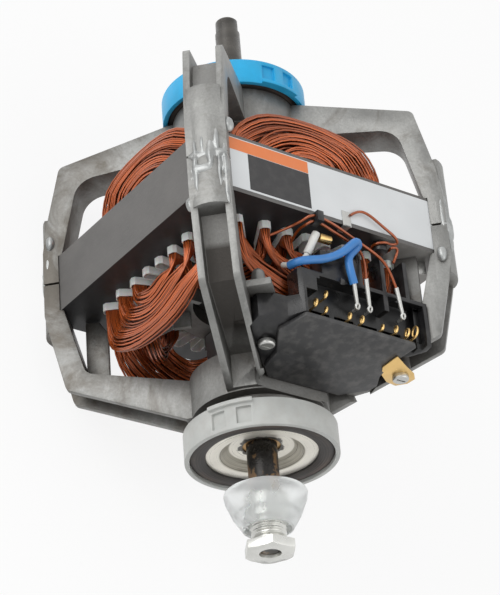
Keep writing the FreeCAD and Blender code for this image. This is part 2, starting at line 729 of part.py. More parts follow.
def stator_core():
    """The square stack with flat corners, its bore and its slots."""
    half = float(S.stack_side) / 2
    flat = half - (math.sqrt(2) * half - float(S.stack_corner)) * math.sqrt(2)
    plan = [(half, flat), (flat, half), (-flat, half), (-half, flat),
            (-half, -flat), (-flat, -half), (flat, -half), (half, -flat)]
    stack = prism(plan, stack_front, stack_rear)
    bore = Part.makeCylinder(float(S.stator_bore), float(S.stack_length) + 2,
                             Vector(0, float(stack_front) - 1, 0), Y)
    slots = each_slot(lambda angle: prism(slot_outline(angle, 0.0, True), stack_front - 1, stack_rear + 1))
    return stack.cut([bore] + slots)


def liner(angle):
    """A slot liner: a sleeve, open towards the bore, that stands out as a cuff at both ends."""
    clearance = float(S.slot_clearance)
    wall = float(S.liner_wall)
    outer = slot_outline(angle, clearance, False)
    inner = slot_outline(angle, clearance + wall, False)
    inner[0] = (inner[0][0] - 2 * wall, inner[0][1])
    inner[-1] = (inner[-1][0] - 2 * wall, inner[-1][1])
    low = stack_front - S.liner_cuff
    high = stack_rear + S.liner_cuff
    return prism(outer, low, high).cut(prism(inner, low - 1, high + 1))


shaped("stator_core", [stator_core()])
shaped("slot_liners", each_slot(liner))


def path_wire(edges):
    """The edges of a path as one wire."""
    return Part.Wire([edge.toShape() if hasattr(edge, "toShape") else edge for edge in edges])


def swept(path, start, direction, radius, sides=6):
    """A tube with a many-sided section along a path, made as a pipe shell."""
    side = direction.cross(Vector(0.31, 0.29, 0.9)).normalize()
    other = direction.cross(side).normalize()
    ring = [start + side * (radius * math.cos(2 * math.pi * i / sides))
            + other * (radius * math.sin(2 * math.pi * i / sides)) for i in range(sides)]
    section = Part.makePolygon(ring + ring[:1])
    return Part.Solid(path.makePipeShell([section], True, False).Shells[0])


def self_gap(path, radius):
    """Least gap between turns of a tube, from points spaced along its path."""
    points = path.discretize(Distance=2.0)
    skip = int(6 * radius / 2.0) + 3
    least = min(points[i].distanceToPoint(points[j])
                for i in range(len(points)) for j in range(i + skip, len(points)))
    return least - 2 * radius


def coil(label, pole, sides_of_turns, lower):
    """One pole's coil as a single unbroken tube: straight in the slots, round at both ends."""
    radius = float(S.strand_radius)
    ends = {1: float(stack_rear + S.turn_straight), -1: float(stack_front - S.turn_straight)}
    turned = math.radians(pole)

    def place(side, along):
        out, across = side
        return Vector(out * math.cos(turned) - across * math.sin(turned), along,
                      out * math.sin(turned) + across * math.cos(turned))

    legs = []
    for out, across in sides_of_turns:
        legs.append((out, across))
        legs.append((out, -across))
    edges = []
    heading = 1
    for index, side in enumerate(legs):
        edges.append(Part.LineSegment(place(side, ends[-heading]), place(side, ends[heading])))
        if index + 1 < len(legs):
            first = place(side, ends[heading])
            last = place(legs[index + 1], ends[heading])
            reach = last - first
            r = min(reach.Length / 2, float(S.turn_bend) - lower[index])
            toward = Vector(reach).normalize()
            up = Vector(0, heading, 0)
            half_turn = math.sqrt(0.5)
            knee = first + toward * r + up * r
            edges.append(Part.Arc(first, first + toward * (r - r * half_turn) + up * (r * half_turn), knee))
            other_knee = last - toward * r + up * r
            if knee.distanceToPoint(other_knee) > 0.01:
                edges.append(Part.LineSegment(knee, other_knee))
            edges.append(Part.Arc(other_knee, last - toward * (r - r * half_turn) + up * (r * half_turn), last))
        heading = -heading
    path = path_wire(edges)
    solid = swept(path, place(legs[0], ends[-1]), Vector(0, 1, 0), radius)
    print(f"{label}: {len(sides_of_turns)} loops, least gap to itself {self_gap(path, radius):.2f} mm,"
          f" volume {solid.Volume:.0f} mm3 for a length of {path.Length:.0f} mm")
    return solid


def slot_side(slot, radius):
    """A coil side at a radius in a slot, as its distance out and its distance across."""
    angle = math.radians(SLOT_ANGLES[slot])
    return (radius * math.cos(angle), radius * math.sin(angle))


# The main coil winds outward in its inner layer and back inward in its outer layer.
# How much lower each end turn stays than the highest one, so that they pass clear of each other:
main_turns = [slot_side(1, 46.0), slot_side(2, 50.3), slot_side(3, 55.2),
              slot_side(3, 60.0), slot_side(2, 54.2), slot_side(1, 49.8)]
main_lower = [0, 0, 0, 3.5, 0.7, 0.1, 0, 2.5, 3.2, 0, 0]
# The starting coils sit over the corners, nearer the bore
CORNER_STEPS = (45.0 - SLOT_ANGLES[1], 45.0 - SLOT_ANGLES[2])
start_turns = [(42.3 * math.cos(math.radians(CORNER_STEPS[0])), 42.3 * math.sin(math.radians(CORNER_STEPS[0]))),
               (45.6 * math.cos(math.radians(CORNER_STEPS[1])), 45.6 * math.sin(math.radians(CORNER_STEPS[1])))]
for number, face in enumerate(FACE_ANGLES, 1):
    shaped(f"main_coil_{number}", [coil(f"main_coil_{number}", face, main_turns, main_lower)])
shaped("start_coils", [coil(f"start coil {number}", face + 45, start_turns, [0, 0, 0])
                       for number, face in enumerate(FACE_ANGLES, 1)])


BOND_RUNS = ((-6.0, 9.0, 6.0, 1.6), (-3.2, 11.5, 9.0, 1.3), (0.0, 8.0, 11.5, 1.6), (3.0, 11.5, 5.0, 1.3),
             (6.0, 9.5, 10.0, 1.6))


def crown_height(across):
    """How far a foot stands past its reach, at a distance from the leg's middle."""
    share = abs(across) / float(S.leg_width / 2 - 1.2)
    for (near, high), (far, low) in zip(CROWN[3:], CROWN[4:]):
        if share <= far:
            return float(S.foot_crown) * (high + (low - high) * (share - near) / (far - near))
    return 0.0


def corner_bonds():
    """The grey bonding compound between the feet of the two frames, with its runs."""
    half = S.leg_width / 2 - 1.4
    low = S.stack_middle - S.foot_gap / 2 + 0.1
    high = S.stack_middle + S.foot_gap / 2 - 0.1
    solids = []
    for number in range(4):
        inner = S.stack_corner + S.seat_fit
        outer = S.leg_reach + S.foot_crown * 0.55 + 0.5
        pad_solid = prism([(inner, -half), (outer, -half), (outer, half), (inner, half)], low, high)
        runs = [pad_solid]
        for across, down, up, width in BOND_RUNS:
            first = S.leg_reach + 0.08 + max(0.0, *[crown_height(across + side * width) for side in (-1, 0, 1)])
            section = [(first, across - width), (first + 1.2, across - width * 0.6),
                       (first + 1.2, across + width * 0.6), (first, across + width)]
            runs.append(prism(section, float(low) - down, float(high) + up))
        solids.append(around(runs[0].multiFuse(runs[1:]).removeSplitter(), 45 + 90 * number))
    return solids


shaped("corner_bonds", corner_bonds())


# Rotor, shaft and pulley

tip_start = S.ring_span + S.blower_end_start + S.blower_end_length
tip_end = tip_start + S.flat_length
blower_start = S.ring_span + S.blower_end_start
tip_radius = S.blower_end_radius - S.tip_step
shaft_end = -(S.pulley_face - 1.5)
pulley_step = -(S.pulley_face - S.hex_thickness - S.belt_length - 1.0)
shaft_body = new_body("shaft")
turn(shaft_body, "bar", [
    (0, shaft_end), (S.pulley_seat_radius - S.shaft_chamfer, shaft_end),
    (S.pulley_seat_radius, shaft_end + S.shaft_chamfer), (S.pulley_seat_radius, pulley_step),
    (S.shaft_radius, pulley_step), (S.shaft_radius, blower_start - S.shaft_chamfer),
    (S.blower_end_radius, blower_start), (S.blower_end_radius, tip_start), (tip_radius, tip_start),
    (tip_radius, tip_end - S.shaft_chamfer), (tip_radius - S.shaft_chamfer, tip_end), (0, tip_end)])
pocket(shaft_body, "flat", "XY_Plane", [
    (tip_radius - S.flat_depth, tip_start), (tip_radius + 2, tip_start),
    (tip_radius + 2, tip_end + 1), (tip_radius - S.flat_depth, tip_end + 1)], 30.0)
node(shaft_body, "shaft")

on_shaft = S.shaft_radius + 0.02
turned_piece("rotor_core", [(on_shaft, stack_front), (S.rotor_radius, stack_front),
                            (S.rotor_radius, stack_rear), (on_shaft, stack_rear)])

BLADES = 8


def rotor_end_rings():
    """The two cast rings at the ends of the rotor core, each with its fan blades."""
    solids = []
    for face, way in ((float(stack_front) - 0.02, -1), (float(stack_rear) + 0.02, 1)):
        length = float(S.end_ring_length)
        ring = Part.makeCylinder(float(S.end_ring_outer), length, Vector(0, face, 0), Vector(0, way, 0))
        ring = ring.cut(Part.makeCylinder(float(S.end_ring_inner), length, Vector(0, face, 0), Vector(0, way, 0)))
        stations = sorted((face + way * (length - 0.5), face + way * (length + float(S.blade_length))))
        half = float(S.blade_wall) / 2
        blade = prism([(S.end_ring_inner + 1.5, -half), (S.end_ring_outer - 1.5, -half),
                       (S.end_ring_outer - 1.5, half), (S.end_ring_inner + 1.5, half)], *stations)
        solids.append(ring.multiFuse([around(blade, 360 / BLADES * i) for i in range(BLADES)]))
    return solids


shaped("rotor_end_rings", rotor_end_rings())


GROOVES = 4


def belt_pulley():
    """The zinc pulley: a hexagon for the spanner, a ribbed drum and a collar."""
    body = new_body("belt_pulley")
    drum_start = -(S.pulley_face - S.hex_thickness)
    drum_end = drum_start + S.belt_length
    collar_end = drum_end + S.collar_length
    points = [(S.pulley_seat_radius + 0.02, -S.pulley_face), (S.belt_radius, -S.pulley_face),
              (S.belt_radius, drum_start + 0.6)]
    for index in range(GROOVES):
        start = drum_start + 0.6 + S.groove_pitch * index
        points.append((S.belt_radius - S.groove_depth, start + S.groove_pitch * 0.4))
        points.append((S.belt_radius - S.groove_depth, start + S.groove_pitch * 0.6))
        points.append((S.belt_radius, start + S.groove_pitch))
    points += [(S.belt_radius, drum_end), (S.collar_radius, drum_end), (S.collar_radius, collar_end),
               (on_shaft, collar_end), (on_shaft, pulley_step - 0.05), (S.pulley_seat_radius + 0.02, pulley_step - 0.05)]
    turn(body, "drum", points)
    across = S.hex_flats / 2
    corner = across / math.cos(math.pi / 6)
    hexagon = [(corner * math.cos(math.pi / 3 * i), corner * math.sin(math.pi / 3 * i)) for i in range(6)]
    nut = pad(body, "hexagon", "XZ_Plane", hexagon, S.hex_thickness)
    face = S.pulley_face - S.hex_thickness
    nut.Profile[0].AttachmentOffset = Placement(Vector(0, 0, float(face)), Rotation())
    bind(nut.Profile[0], AttachmentOffset__Base__z=face)
    turn(body, "bore", [(0, -S.pulley_face - 1), (S.pulley_seat_radius + 0.02, -S.pulley_face - 1),
                        (S.pulley_seat_radius + 0.02, drum_start + 1), (0, drum_start + 1)], cut=True)
    turn(body, "hexagon_chamfer", [
        (across + 0.2, -S.pulley_face - 0.1), (corner + 1, -S.pulley_face - 0.1), (corner + 1, -S.pulley_face + 1.1)],
        cut=True)
    node(body, "belt_pulley")
    return drum_end


drum_end = belt_pulley()
cone_start = drum_end - S.cone_lap
cone_end = cone_start + S.cone_length
cone_seat = cone_start + S.cone_lap + 3.3
on_collar = S.collar_radius + 0.03
turned_piece("guide_cone", [
    (on_collar, cone_start), (S.cone_small, cone_start), (S.cone_rim - 3.0, cone_start + 6.0),
    (S.cone_rim - 0.4, cone_end - 3.2), (S.cone_rim, cone_end - 0.9), (S.cone_rim - 0.3, cone_end),
    (S.cone_rim - S.cone_wall, cone_end), (S.cone_rim - S.cone_wall - 0.45, cone_end - 2.9),
    (S.cone_rim - S.cone_wall - 3.0, cone_seat), (on_collar, cone_seat)])


def shaft_trim():
    """Thrust washers and the clips that hold them, in the inner pockets of the two hubs."""
    washers = []
    clips = []
    for face, way in ((float(S.bearing_depth + S.bearing_half) + 0.3, 1),
                      (float(S.ring_span - S.bearing_depth - S.bearing_half) - 0.3, -1)):
        start = Vector(0, face + way * 1.2, 0)
        washer = Part.makeCylinder(float(S.bearing_ball), 1.0, start, Vector(0, way, 0))
        washers.append(washer.cut(Part.makeCylinder(float(on_shaft), 1.0, start, Vector(0, way, 0))))
        start = Vector(0, face + way * 2.3, 0)
        clip = Part.makeCylinder(float(S.shaft_radius) + 2.2, 1.0, start, Vector(0, way, 0))
        clips.append(clip.cut(Part.makeCylinder(float(on_shaft), 1.0, start, Vector(0, way, 0))))
    return washers, clips


washers, clips = shaft_trim()
shaped("thrust_washers", washers)
shaped("shaft_clips", clips)


# Governor: a plate with four ears, two weights, a sliding spool and a spring


def governor_plate():
    """The pressed plate that turns with the shaft and carries the weights' pivots."""
    body = new_body("governor_plate")
    front = S.plate_seat - S.plate_wall
    reach = S.weight_pivot + 4
    ear_out = S.ear_gap / 2 + 1.6
    pad(body, "plate", "XZ_Plane", [(-ear_out, -reach), (ear_out, -reach), (ear_out, reach), (-ear_out, reach)],
        S.plate_seat, reversed_way=True)
    doc.recompute()
    ear_end = S.weight_station - 2.6
    pocket(body, "front_of_plate", "YZ_Plane", [(-1.0, -reach - 1), (ear_end, -reach - 1), (ear_end, reach + 1),
                                                (-1.0, reach + 1)], 60.0)
    pocket(body, "between_ears", "YZ_Plane", [(ear_end - 1, -reach - 1), (front, -reach - 1), (front, reach + 1),
                                              (ear_end - 1, reach + 1)], S.ear_gap)
    pocket(body, "round_the_spring", "YZ_Plane", [(ear_end - 1, -S.weight_pivot + 4), (front, -S.weight_pivot + 4),
                                                  (front, S.weight_pivot - 4), (ear_end - 1, S.weight_pivot - 4)],
           60.0)
    turn(body, "hub", [(on_shaft, front), (S.spool_radius, front), (S.spool_radius, S.plate_seat + 5),
                       (on_shaft, S.plate_seat + 5)])
    turn(body, "bore", [(0, front - 1), (on_shaft, front - 1), (on_shaft, S.plate_seat + 6), (0, S.plate_seat + 6)],
         cut=True)
    for sign in (-1, 1):
        name = "upper" if sign > 0 else "lower"
        hole = body.newObject("Sketcher::SketchObject", f"{name}_pin_circle")
        hole.AttachmentSupport = [(origin_part(body, "YZ_Plane"), "")]
        hole.MapMode = "FlatFace"
        hole.addGeometry(Part.Circle(Vector(float(S.weight_station), sign * float(S.weight_pivot), 0), Vector(0, 0, 1),
                                     float(S.pivot_radius) + 0.03), False)
        for kind, value in (("DistanceX", S.weight_station), ("DistanceY", sign * S.weight_pivot)):
            number = hole.addConstraint(Sketcher.Constraint(kind, -1, 1, 0, 3, float(value)))
            hole.setExpression(f"Constraints[{number}]", as_size(value).formula)
        number = hole.addConstraint(Sketcher.Constraint("Radius", 0, float(S.pivot_radius) + 0.03))
        hole.setExpression(f"Constraints[{number}]", (S.pivot_radius + 0.03).formula)
        drilled = body.newObject("PartDesign::Pocket", f"{name}_pin_holes")
        drilled.Profile = hole
        drilled.SideType = "Symmetric"
        drilled.Length = 60.0
    node(body, "governor_plate")


governor_plate()


def governor_pins():
    """The two pins that the weights turn on."""
    half = float(S.ear_gap) / 2 + 1.6
    return [Part.makeCylinder(float(S.pivot_radius), 2 * half, Vector(-half, float(S.weight_station),
                                                                     sign * float(S.weight_pivot)), X)
            for sign in (-1, 1)]


shaped("governor_pins", governor_pins())


def governor_weight(sign):
    """A weight: a toe that reaches into the spool's groove and a heavy arm behind the pivot."""
    station = float(S.weight_station)
    pivot = float(S.weight_pivot)
    half_toe = float(S.toe_wall) / 2
    toe_end = float(S.spool_radius) + 1.0
    arm_end = float(S.plate_seat - S.plate_wall) - 1.6
    side = [(station - half_toe, toe_end), (station + half_toe, toe_end), (station + half_toe, pivot - 3.0),
            (station + 3.0, pivot - 2.4), (arm_end, pivot - 3.4), (arm_end, pivot + 3.6),
            (station + 2.0, pivot + 3.2), (station - 2.6, pivot + 1.6), (station - half_toe, pivot - 2.6)]
    half = float(S.weight_width) / 2
    solid = strip([(along, sign * up) for along, up in side], -half, half)
    hole = Part.makeCylinder(float(S.pivot_radius) + 0.05, 2 * half + 2,
                             Vector(-half - 1, station, sign * pivot), X)
    return solid.cut(hole)


shaped("upper_governor_weight", [governor_weight(1)])
shaped("lower_governor_weight", [governor_weight(-1)])

toe_front = S.weight_station - S.toe_wall / 2 - S.toe_play
toe_rear = S.weight_station + S.toe_wall / 2 + S.toe_play
spool_end = toe_rear + 1.2
turned_piece("governor_spool", [
    (S.shaft_radius + S.spool_bore_fit, S.spool_front), (S.spool_disc, S.spool_front),
    (S.spool_disc, S.spool_front + 1.6), (S.spool_radius, S.spool_front + 1.6),
    (S.spool_radius, toe_front - 1.2), (S.spool_flange, toe_front - 1.2), (S.spool_flange, toe_front),
    (S.spool_radius, toe_front), (S.spool_radius, toe_rear), (S.spool_flange, toe_rear),
    (S.spool_flange, spool_end), (S.shaft_radius + S.spool_bore_fit, spool_end)])


def governor_spring():
    """The spring between the plate and the spool, as quarter-turn arcs of a helix."""
    radius = float(S.spring_radius)
    wire = float(S.spring_wire)
    start = float(spool_end) + wire + 0.05
    stop = float(S.plate_seat - S.plate_wall) - wire - 0.05
    curls = float(S.spring_curls)
    steps = int(round(curls * 8))

    def point(step):
        angle = 2 * math.pi * curls * step / steps
        return Vector(radius * math.cos(angle), start + (stop - start) * step / steps, radius * math.sin(angle))

    edges = [Part.Arc(point(step), point(step + 0.5), point(step + 1)) for step in range(steps)]
    path = path_wire(edges)
    solid = swept(path, point(0), Vector(0, 0, 1), wire, 5)
    pitch = (stop - start) / curls
    print(f"governor_spring: {curls:.0f} curls, least gap to itself {pitch - 2 * wire:.2f} mm")
    return solid


shaped("governor_spring", [governor_spring()])


# Starting switch

def switch_cover():
    """The cover plate, drawn upright and then tilted about its upper edge."""
    body = new_body("switch_cover")
    plate = pad(body, "plate", "XZ_Plane", [
        (-17.5, 0.0), (38.0, 0.0), (34.0, -12.5), (34.0, -21.5), (36.5, -27.0), (34.5, -31.0), (24.0, -37.6),
        (-11.5, -37.4), (-16.2, -32.5), (-16.2, -24.0), (-23.0, -12.0)], S.cover_wall, reversed_way=True)
    rounded(body, "plate_corners", plate, 1.2, lambda edge: abs(edge.Vertexes[0].Y - edge.Vertexes[-1].Y) > 1)
    body.Placement = Placement(Vector(0, float(S.switch_station), float(S.switch_top)),
                               Rotation(X, -float(S.switch_tilt)))
    bind(body, Placement__Base__y=S.switch_station, Placement__Base__z=S.switch_top)
    node(body, "switch_cover")


switch_cover()

FINS = (12.0, 24.0, 36.0)
base_top = float(S.switch_top) - 0.3


def switch_base():
    """The moulded base: a chamber behind the cover, a shelf with terminal pockets, and fins."""
    plan = [(-17.5, base_top), (45.5, base_top), (45.5, 55.8), (14.2, 24.5), (-14.2, 24.5), (-34.0, 44.3),
            (-34.0, 50.0), (-27.0, 54.0), (-22.5, 54.0)]
    low = on_plane(24.0) - 2
    solid = prism(plan, low, S.shelf_back)
    front = strip([(low - 5, 10.0), (on_plane(10.0, float(S.cover_wall) + 0.02), 10.0),
                   (on_plane(75.0, float(S.cover_wall) + 0.02), 75.0), (low - 5, 75.0)], -60, 60)
    under_shelf = strip([(S.chamber_back, 10.0), (70.0, 10.0), (70.0, S.shelf_floor), (S.chamber_back, S.shelf_floor)],
                        -60, 60)
    left_of_shelf = prism([(-60, 10), (-19.0, 10), (-19.0, 80), (-60, 80)], S.chamber_back, 70)
    solid = solid.cut([front, under_shelf, left_of_shelf])
    fins = [prism([(place - float(S.fin_wall) / 2, float(S.shelf_floor) + 0.8),
                   (place + float(S.fin_wall) / 2, float(S.shelf_floor) + 0.8),
                   (place + float(S.fin_wall) / 2, base_top), (place - float(S.fin_wall) / 2, base_top)],
                  S.shelf_back - 1, S.fin_back) for place in FINS]
    rear_block = prism([(-7.5, float(S.shelf_floor) + 0.8), (FINS[0] - 0.5, float(S.shelf_floor) + 0.8),
                        (FINS[0] - 0.5, base_top), (-7.5, base_top)], S.shelf_back - 1, S.fin_back - 6)
    solid = solid.multiFuse(fins + [rear_block])
    half = float(S.pocket_width) / 2
    pockets = []
    for index in range(4):
        middle = FINS[0] + (index - 1.5) * float(S.pocket_pitch)
        pockets.append(prism([(middle - half, S.pocket_floor), (middle + half, S.pocket_floor),
                              (middle + half, 80), (middle - half, 80)], 31.0, S.shelf_back - 3))
        pockets.append(prism([(middle - half, 46.0), (middle + half, 46.0), (middle + half, 80),
                              (middle - half, 80)], 31.0, 34.0))
    pockets.append(prism([(38.2, S.pocket_floor), (43.5, S.pocket_floor), (43.5, 80), (38.2, 80)],
                         31.0, S.shelf_back - 3))
    chamber = prism([(-lever_room, 20.0), (lever_room, 20.0), (lever_room, 42.0), (-lever_room, 42.0)],
                    float(S.lever_station) - 5.0, S.chamber_back + 1)
    pin = Part.makeCylinder(float(S.pivot_radius) + 0.03, 22.0, Vector(-11, float(S.lever_station),
                                                                       float(S.lever_height)), X)
    hole = Part.makeCylinder(float(S.screw_radius) + 0.3, 30.0, Vector(near_screw[0], 15.0, near_screw[1]), Y)
    recess = Part.makeCylinder(float(S.screw_head_radius) + 0.6, 30.0,
                               Vector(near_screw[0], near_head_seat - 30.0, near_screw[1]), Y)
    return solid.cut(pockets + [chamber, pin, hole, recess])


lever_room = float(S.lever_width) / 2 + 1.0
near_head_seat = on_plane(near_screw[1], 2.0)
base = switch_base()


def switch_lever():
    """The lever: a blade from its pivot down to the spool's disc, with a contact arm above."""
    station = float(S.lever_station)
    height = float(S.lever_height)
    wall = float(S.lever_wall)
    touch = float(S.spool_front) - float(S.rest_gap)
    side = [(station - 2.4, height + 2.4), (station - 1.4, height + 8.6), (station + 0.2, height + 8.6),
            (station + 2.4, height + 2.4), (station + 2.4, height - 3.0), (touch, 18.0), (touch, float(S.lever_tip)),
            (touch - wall, float(S.lever_tip)), (touch - wall, 17.4), (station - 0.2, height - 4.6),
            (station - 2.4, height - 2.4)]
    half = float(S.lever_width) / 2
    hole = Part.makeCylinder(float(S.pivot_radius) + 0.05, 2 * half + 2, Vector(-half - 1, station, height), X)
    return strip(side, -half, half).cut(hole)


shaped("switch_lever", [switch_lever()])
shaped("lever_pin", [Part.makeCylinder(float(S.pivot_radius), 19.0,
                                       Vector(-9.5, float(S.lever_station), float(S.lever_height)), X)])


def terminal(middle, width):
    """A brass terminal: a blade that stands on the pocket's floor and curls over at its top."""
    foot = float(S.pocket_floor) + 0.02
    along = 41.0
    side = [(31.4, foot), (along, foot), (along, foot + 4.0), (along - 1.0, foot + 5.2), (along - 2.6, foot + 5.6),
            (along - 4.0, foot + 4.8), (along - 3.5, foot + 4.2), (along - 2.4, foot + 4.8),
            (along - 1.4, foot + 4.5), (along - 0.8, foot + 3.7), (along - 0.8, foot + 0.8), (31.4, foot + 0.8)]
    return strip(side, middle - width / 2, middle + width / 2)


shaped("switch_terminals",
       [terminal(FINS[0] + (index - 1.5) * float(S.pocket_pitch), 6.3) for index in range(4)]
       + [terminal(40.8, 4.4)])


def screw(place, seat, length):
    """A pan-head screw along the shaft's direction, its head on its seat and facing -Y."""
    head = Part.makeCylinder(float(S.screw_head_radius), float(S.screw_head),
                             Vector(place[0], seat - float(S.screw_head), place[1]), Y)
    rim = [edge for edge in head.Edges if abs(edge.CenterOfMass.y - head.BoundBox.YMin) < 0.01]
    head = head.makeFillet(0.9, rim)
    shank = Part.makeCylinder(float(S.screw_radius), length, Vector(place[0], seat - 0.2, place[1]), Y)
    drive = Part.makeBox(4.2, 1.0, 1.0, Vector(place[0] - 2.1, seat - float(S.screw_head) - 0.1, place[1] - 0.5))
    return head.fuse(shank).cut(drive)


far_seat = float(far_boss_top) - 0.02 - float(S.strap_wall)
near_length = float(S.chamber_back) + 5.0 - near_head_seat
shaped("switch_screws", [screw(near_screw, near_head_seat - 0.02, near_length), screw(far_screw, far_seat - 0.02, 8.0)])


def earth_strap():
    """The brass strap under the far screw."""
    low = far_seat
    high = float(far_boss_top) - 0.02
    plan = [(35.0, 46.4), (37.6, 50.0), (42.6, 50.0), (47.6, 46.2), (49.2, 41.2), (46.2, 36.2), (41.2, 34.8),
            (37.8, 36.8), (36.6, 40.4)]
    plate = prism(plan, low, high)
    hole = Part.makeCylinder(float(S.screw_radius) + 0.1, 4.0, Vector(far_screw[0], low - 1, far_screw[1]), Y)
    return plate.cut(hole)


shaped("earth_strap", [earth_strap()])


# Leads between the windings and the switch


def cord(label, points, radius, sides=8):
    """A lead along straight runs joined by tangent arcs."""
    places = [Vector(*point) for point in points]
    edges = []
    radii = []
    here = places[0]
    for before, corner, after in zip(places, places[1:], places[2:]):
        inward = (corner - before)
        outward = (after - corner)
        turning = inward.getAngle(outward)
        setback = 0.45 * min(inward.Length, outward.Length)
        radii.append(setback / math.tan(turning / 2))
        start = corner - Vector(inward).normalize() * setback
        stop = corner + Vector(outward).normalize() * setback
        bisector = (Vector(outward).normalize() - Vector(inward).normalize()).normalize()
        centre_distance = radii[-1] / math.cos(turning / 2)
        middle = corner + bisector * (centre_distance - radii[-1])
        edges.append(Part.LineSegment(here, start))
        edges.append(Part.Arc(start, middle, stop))
        here = stop
    edges.append(Part.LineSegment(here, places[-1]))
    path = path_wire(edges)
    solid = swept(path, places[0], Vector(places[1] - places[0]).normalize(), radius, sides)
    print(f"{label}: length {path.Length:.0f} mm, bend radii {', '.join(f'{r:.0f}' for r in radii)} mm,"
          f" volume {solid.Volume:.0f} mm3")
    return solid


blue_route = [(-19.5, 53.9, 49.7), (-18.4, 53.5, 54.6), (-13.6, 54.0, 58.2), (-5.2, 55.2, 60.9), (0.6, 58.3, 62.8),
              (5.0, 63.0, 63.6), (8.0, 67.0, 66.6), (5.0, 64.0, 70.2), (1.6, 58.4, 67.8), (0.9, 52.8, 64.2),
              (2.0, 48.0, 61.2), (3.2, 44.8, 58.7)]
white_route = [(-15.5, 56.2, 49.7), (-15.3, 55.4, 52.4), (-12.86, 55.02, 55.04), (-11.9, 57.7, 56.0)]
copper_routes = [
    [(-25.2, 66.0, 49.95), (-19.5, 68.6, 54.0), (-16.6, 69.4, 60.2), (-14.4, 71.0, 64.4), (-8.6, 71.4, 63.9),
     (-1.0, 70.6, 62.0), (10.2, 68.4, 60.4), (20.6, 64.6, 61.2), (24.8, 60.3, 61.4), (27.8, 54.9, 61.0),
     (30.2, 50.6, 60.0), (31.4, 46.8, 58.4)],
    [(-14.4, 66.0, 49.8), (-15.2, 68.4, 55.0), (-14.8, 68.2, 60.8), (-12.6, 69.6, 63.2), (-7.6, 70.0, 62.4),
     (-1.4, 68.6, 60.6), (4.4, 66.6, 59.9), (9.4, 64.6, 60.4), (12.3, 60.7, 61.0), (13.3, 54.8, 61.0),
     (14.3, 50.1, 60.0), (15.3, 46.6, 58.5)],
    [(8.4, 79.2, 62.75), (15.9, 80.4, 64.4), (22.1, 75.6, 64.8), (30.4, 73.0, 63.9), (33.0, 70.4, 61.0),
     (29.4, 66.4, 59.4), (25.6, 67.9, 58.2)],
]
shaped("blue_lead", [cord("blue_lead", blue_route, 1.75)])
shaped("white_lead", [cord("white_lead", white_route, 1.2)])
shaped("copper_leads", [cord(f"copper lead {number}", route, 0.6, 6)
                        for number, route in enumerate(copper_routes, 1)])


def crimp(route, radius, length):
    """A crimp that carries on from the end of a lead down to its terminal."""
    end = Vector(*route[-1])
    way = (end - Vector(*route[-2])).normalize()
    return Part.makeCylinder(radius, length, end + way * 0.05, way)


shaped("lead_crimps", [crimp(blue_route, 1.5, 3.2), crimp(copper_routes[0], 1.3, 4.4),
                       crimp(copper_routes[1], 1.3, 4.4)])
passages = [cord("blue lead's passage", blue_route, 2.1), crimp(blue_route, 1.75, 3.7)]
for number, route in enumerate(copper_routes[:2], 1):
    passages.append(cord(f"copper lead {number}'s passage", route, 0.95, 6))
    passages.append(crimp(route, 1.55, 4.9))
shaped("switch_base", [base.cut(passages)])


def lead_tie():
    """The black tie that holds the two long copper leads above the stack's edge."""
    tie = Part.makeBox(3.0, 4.6, 5.4, Vector(-12.6, 68.2, 61.0))
    return tie.cut([cord("tie passage", route, 0.9, 6) for route in copper_routes[:2]])


shaped("lead_tie", [lead_tie()])
shaped("lead_splice", [crimp(white_route, 1.7, 10.4)])
clip = Part.makeCylinder(1.9, 5.6, Vector(-6.9, 65.9, 58.2), X)
shaped("splice_clip", [clip.cut(Part.makeCylinder(1.3, 5.6, Vector(-6.9, 65.9, 58.2), X))])
button = Part.makeCylinder(3.0, 4.6, Vector(25.5, 68.3, 57.6), Y)
shaped("lead_button", [button.makeFillet(0.8, [button.Edges[0]])])
tab = strip([(stack_front - 0.8, 56.5), (stack_front - 0.02, 56.5), (stack_front - 0.02, 62.02), (82.0, 62.02),
             (82.0, 62.6), (stack_front - 0.8, 62.6)], 2.0, 7.6)
shaped("earth_tab", [tab])


# Check every object, then write one file for each piece

doc.recompute()
for obj in doc.Objects:
    if "Invalid" in obj.State or "Error" in obj.State:
        raise RuntimeError(f"{obj.Label} failed: {obj.State}")
for obj in PARTS:
    shape = obj.Shape
    if shape.isNull() or not shape.isValid() or not shape.Solids:
        raise RuntimeError(f"{obj.Label} has no valid solid")
    shape.exportStep(f"parts/{obj.Label}.step")
    print(f"{obj.Label}: {len(shape.Solids)} solid(s), {shape.Volume / 1000:.2f} cm3")
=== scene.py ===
import json
import math
import random

import bmesh
import bpy
from bpy.props import FloatProperty, FloatVectorProperty, IntProperty, PointerProperty
from mathutils import Matrix, Vector, noise


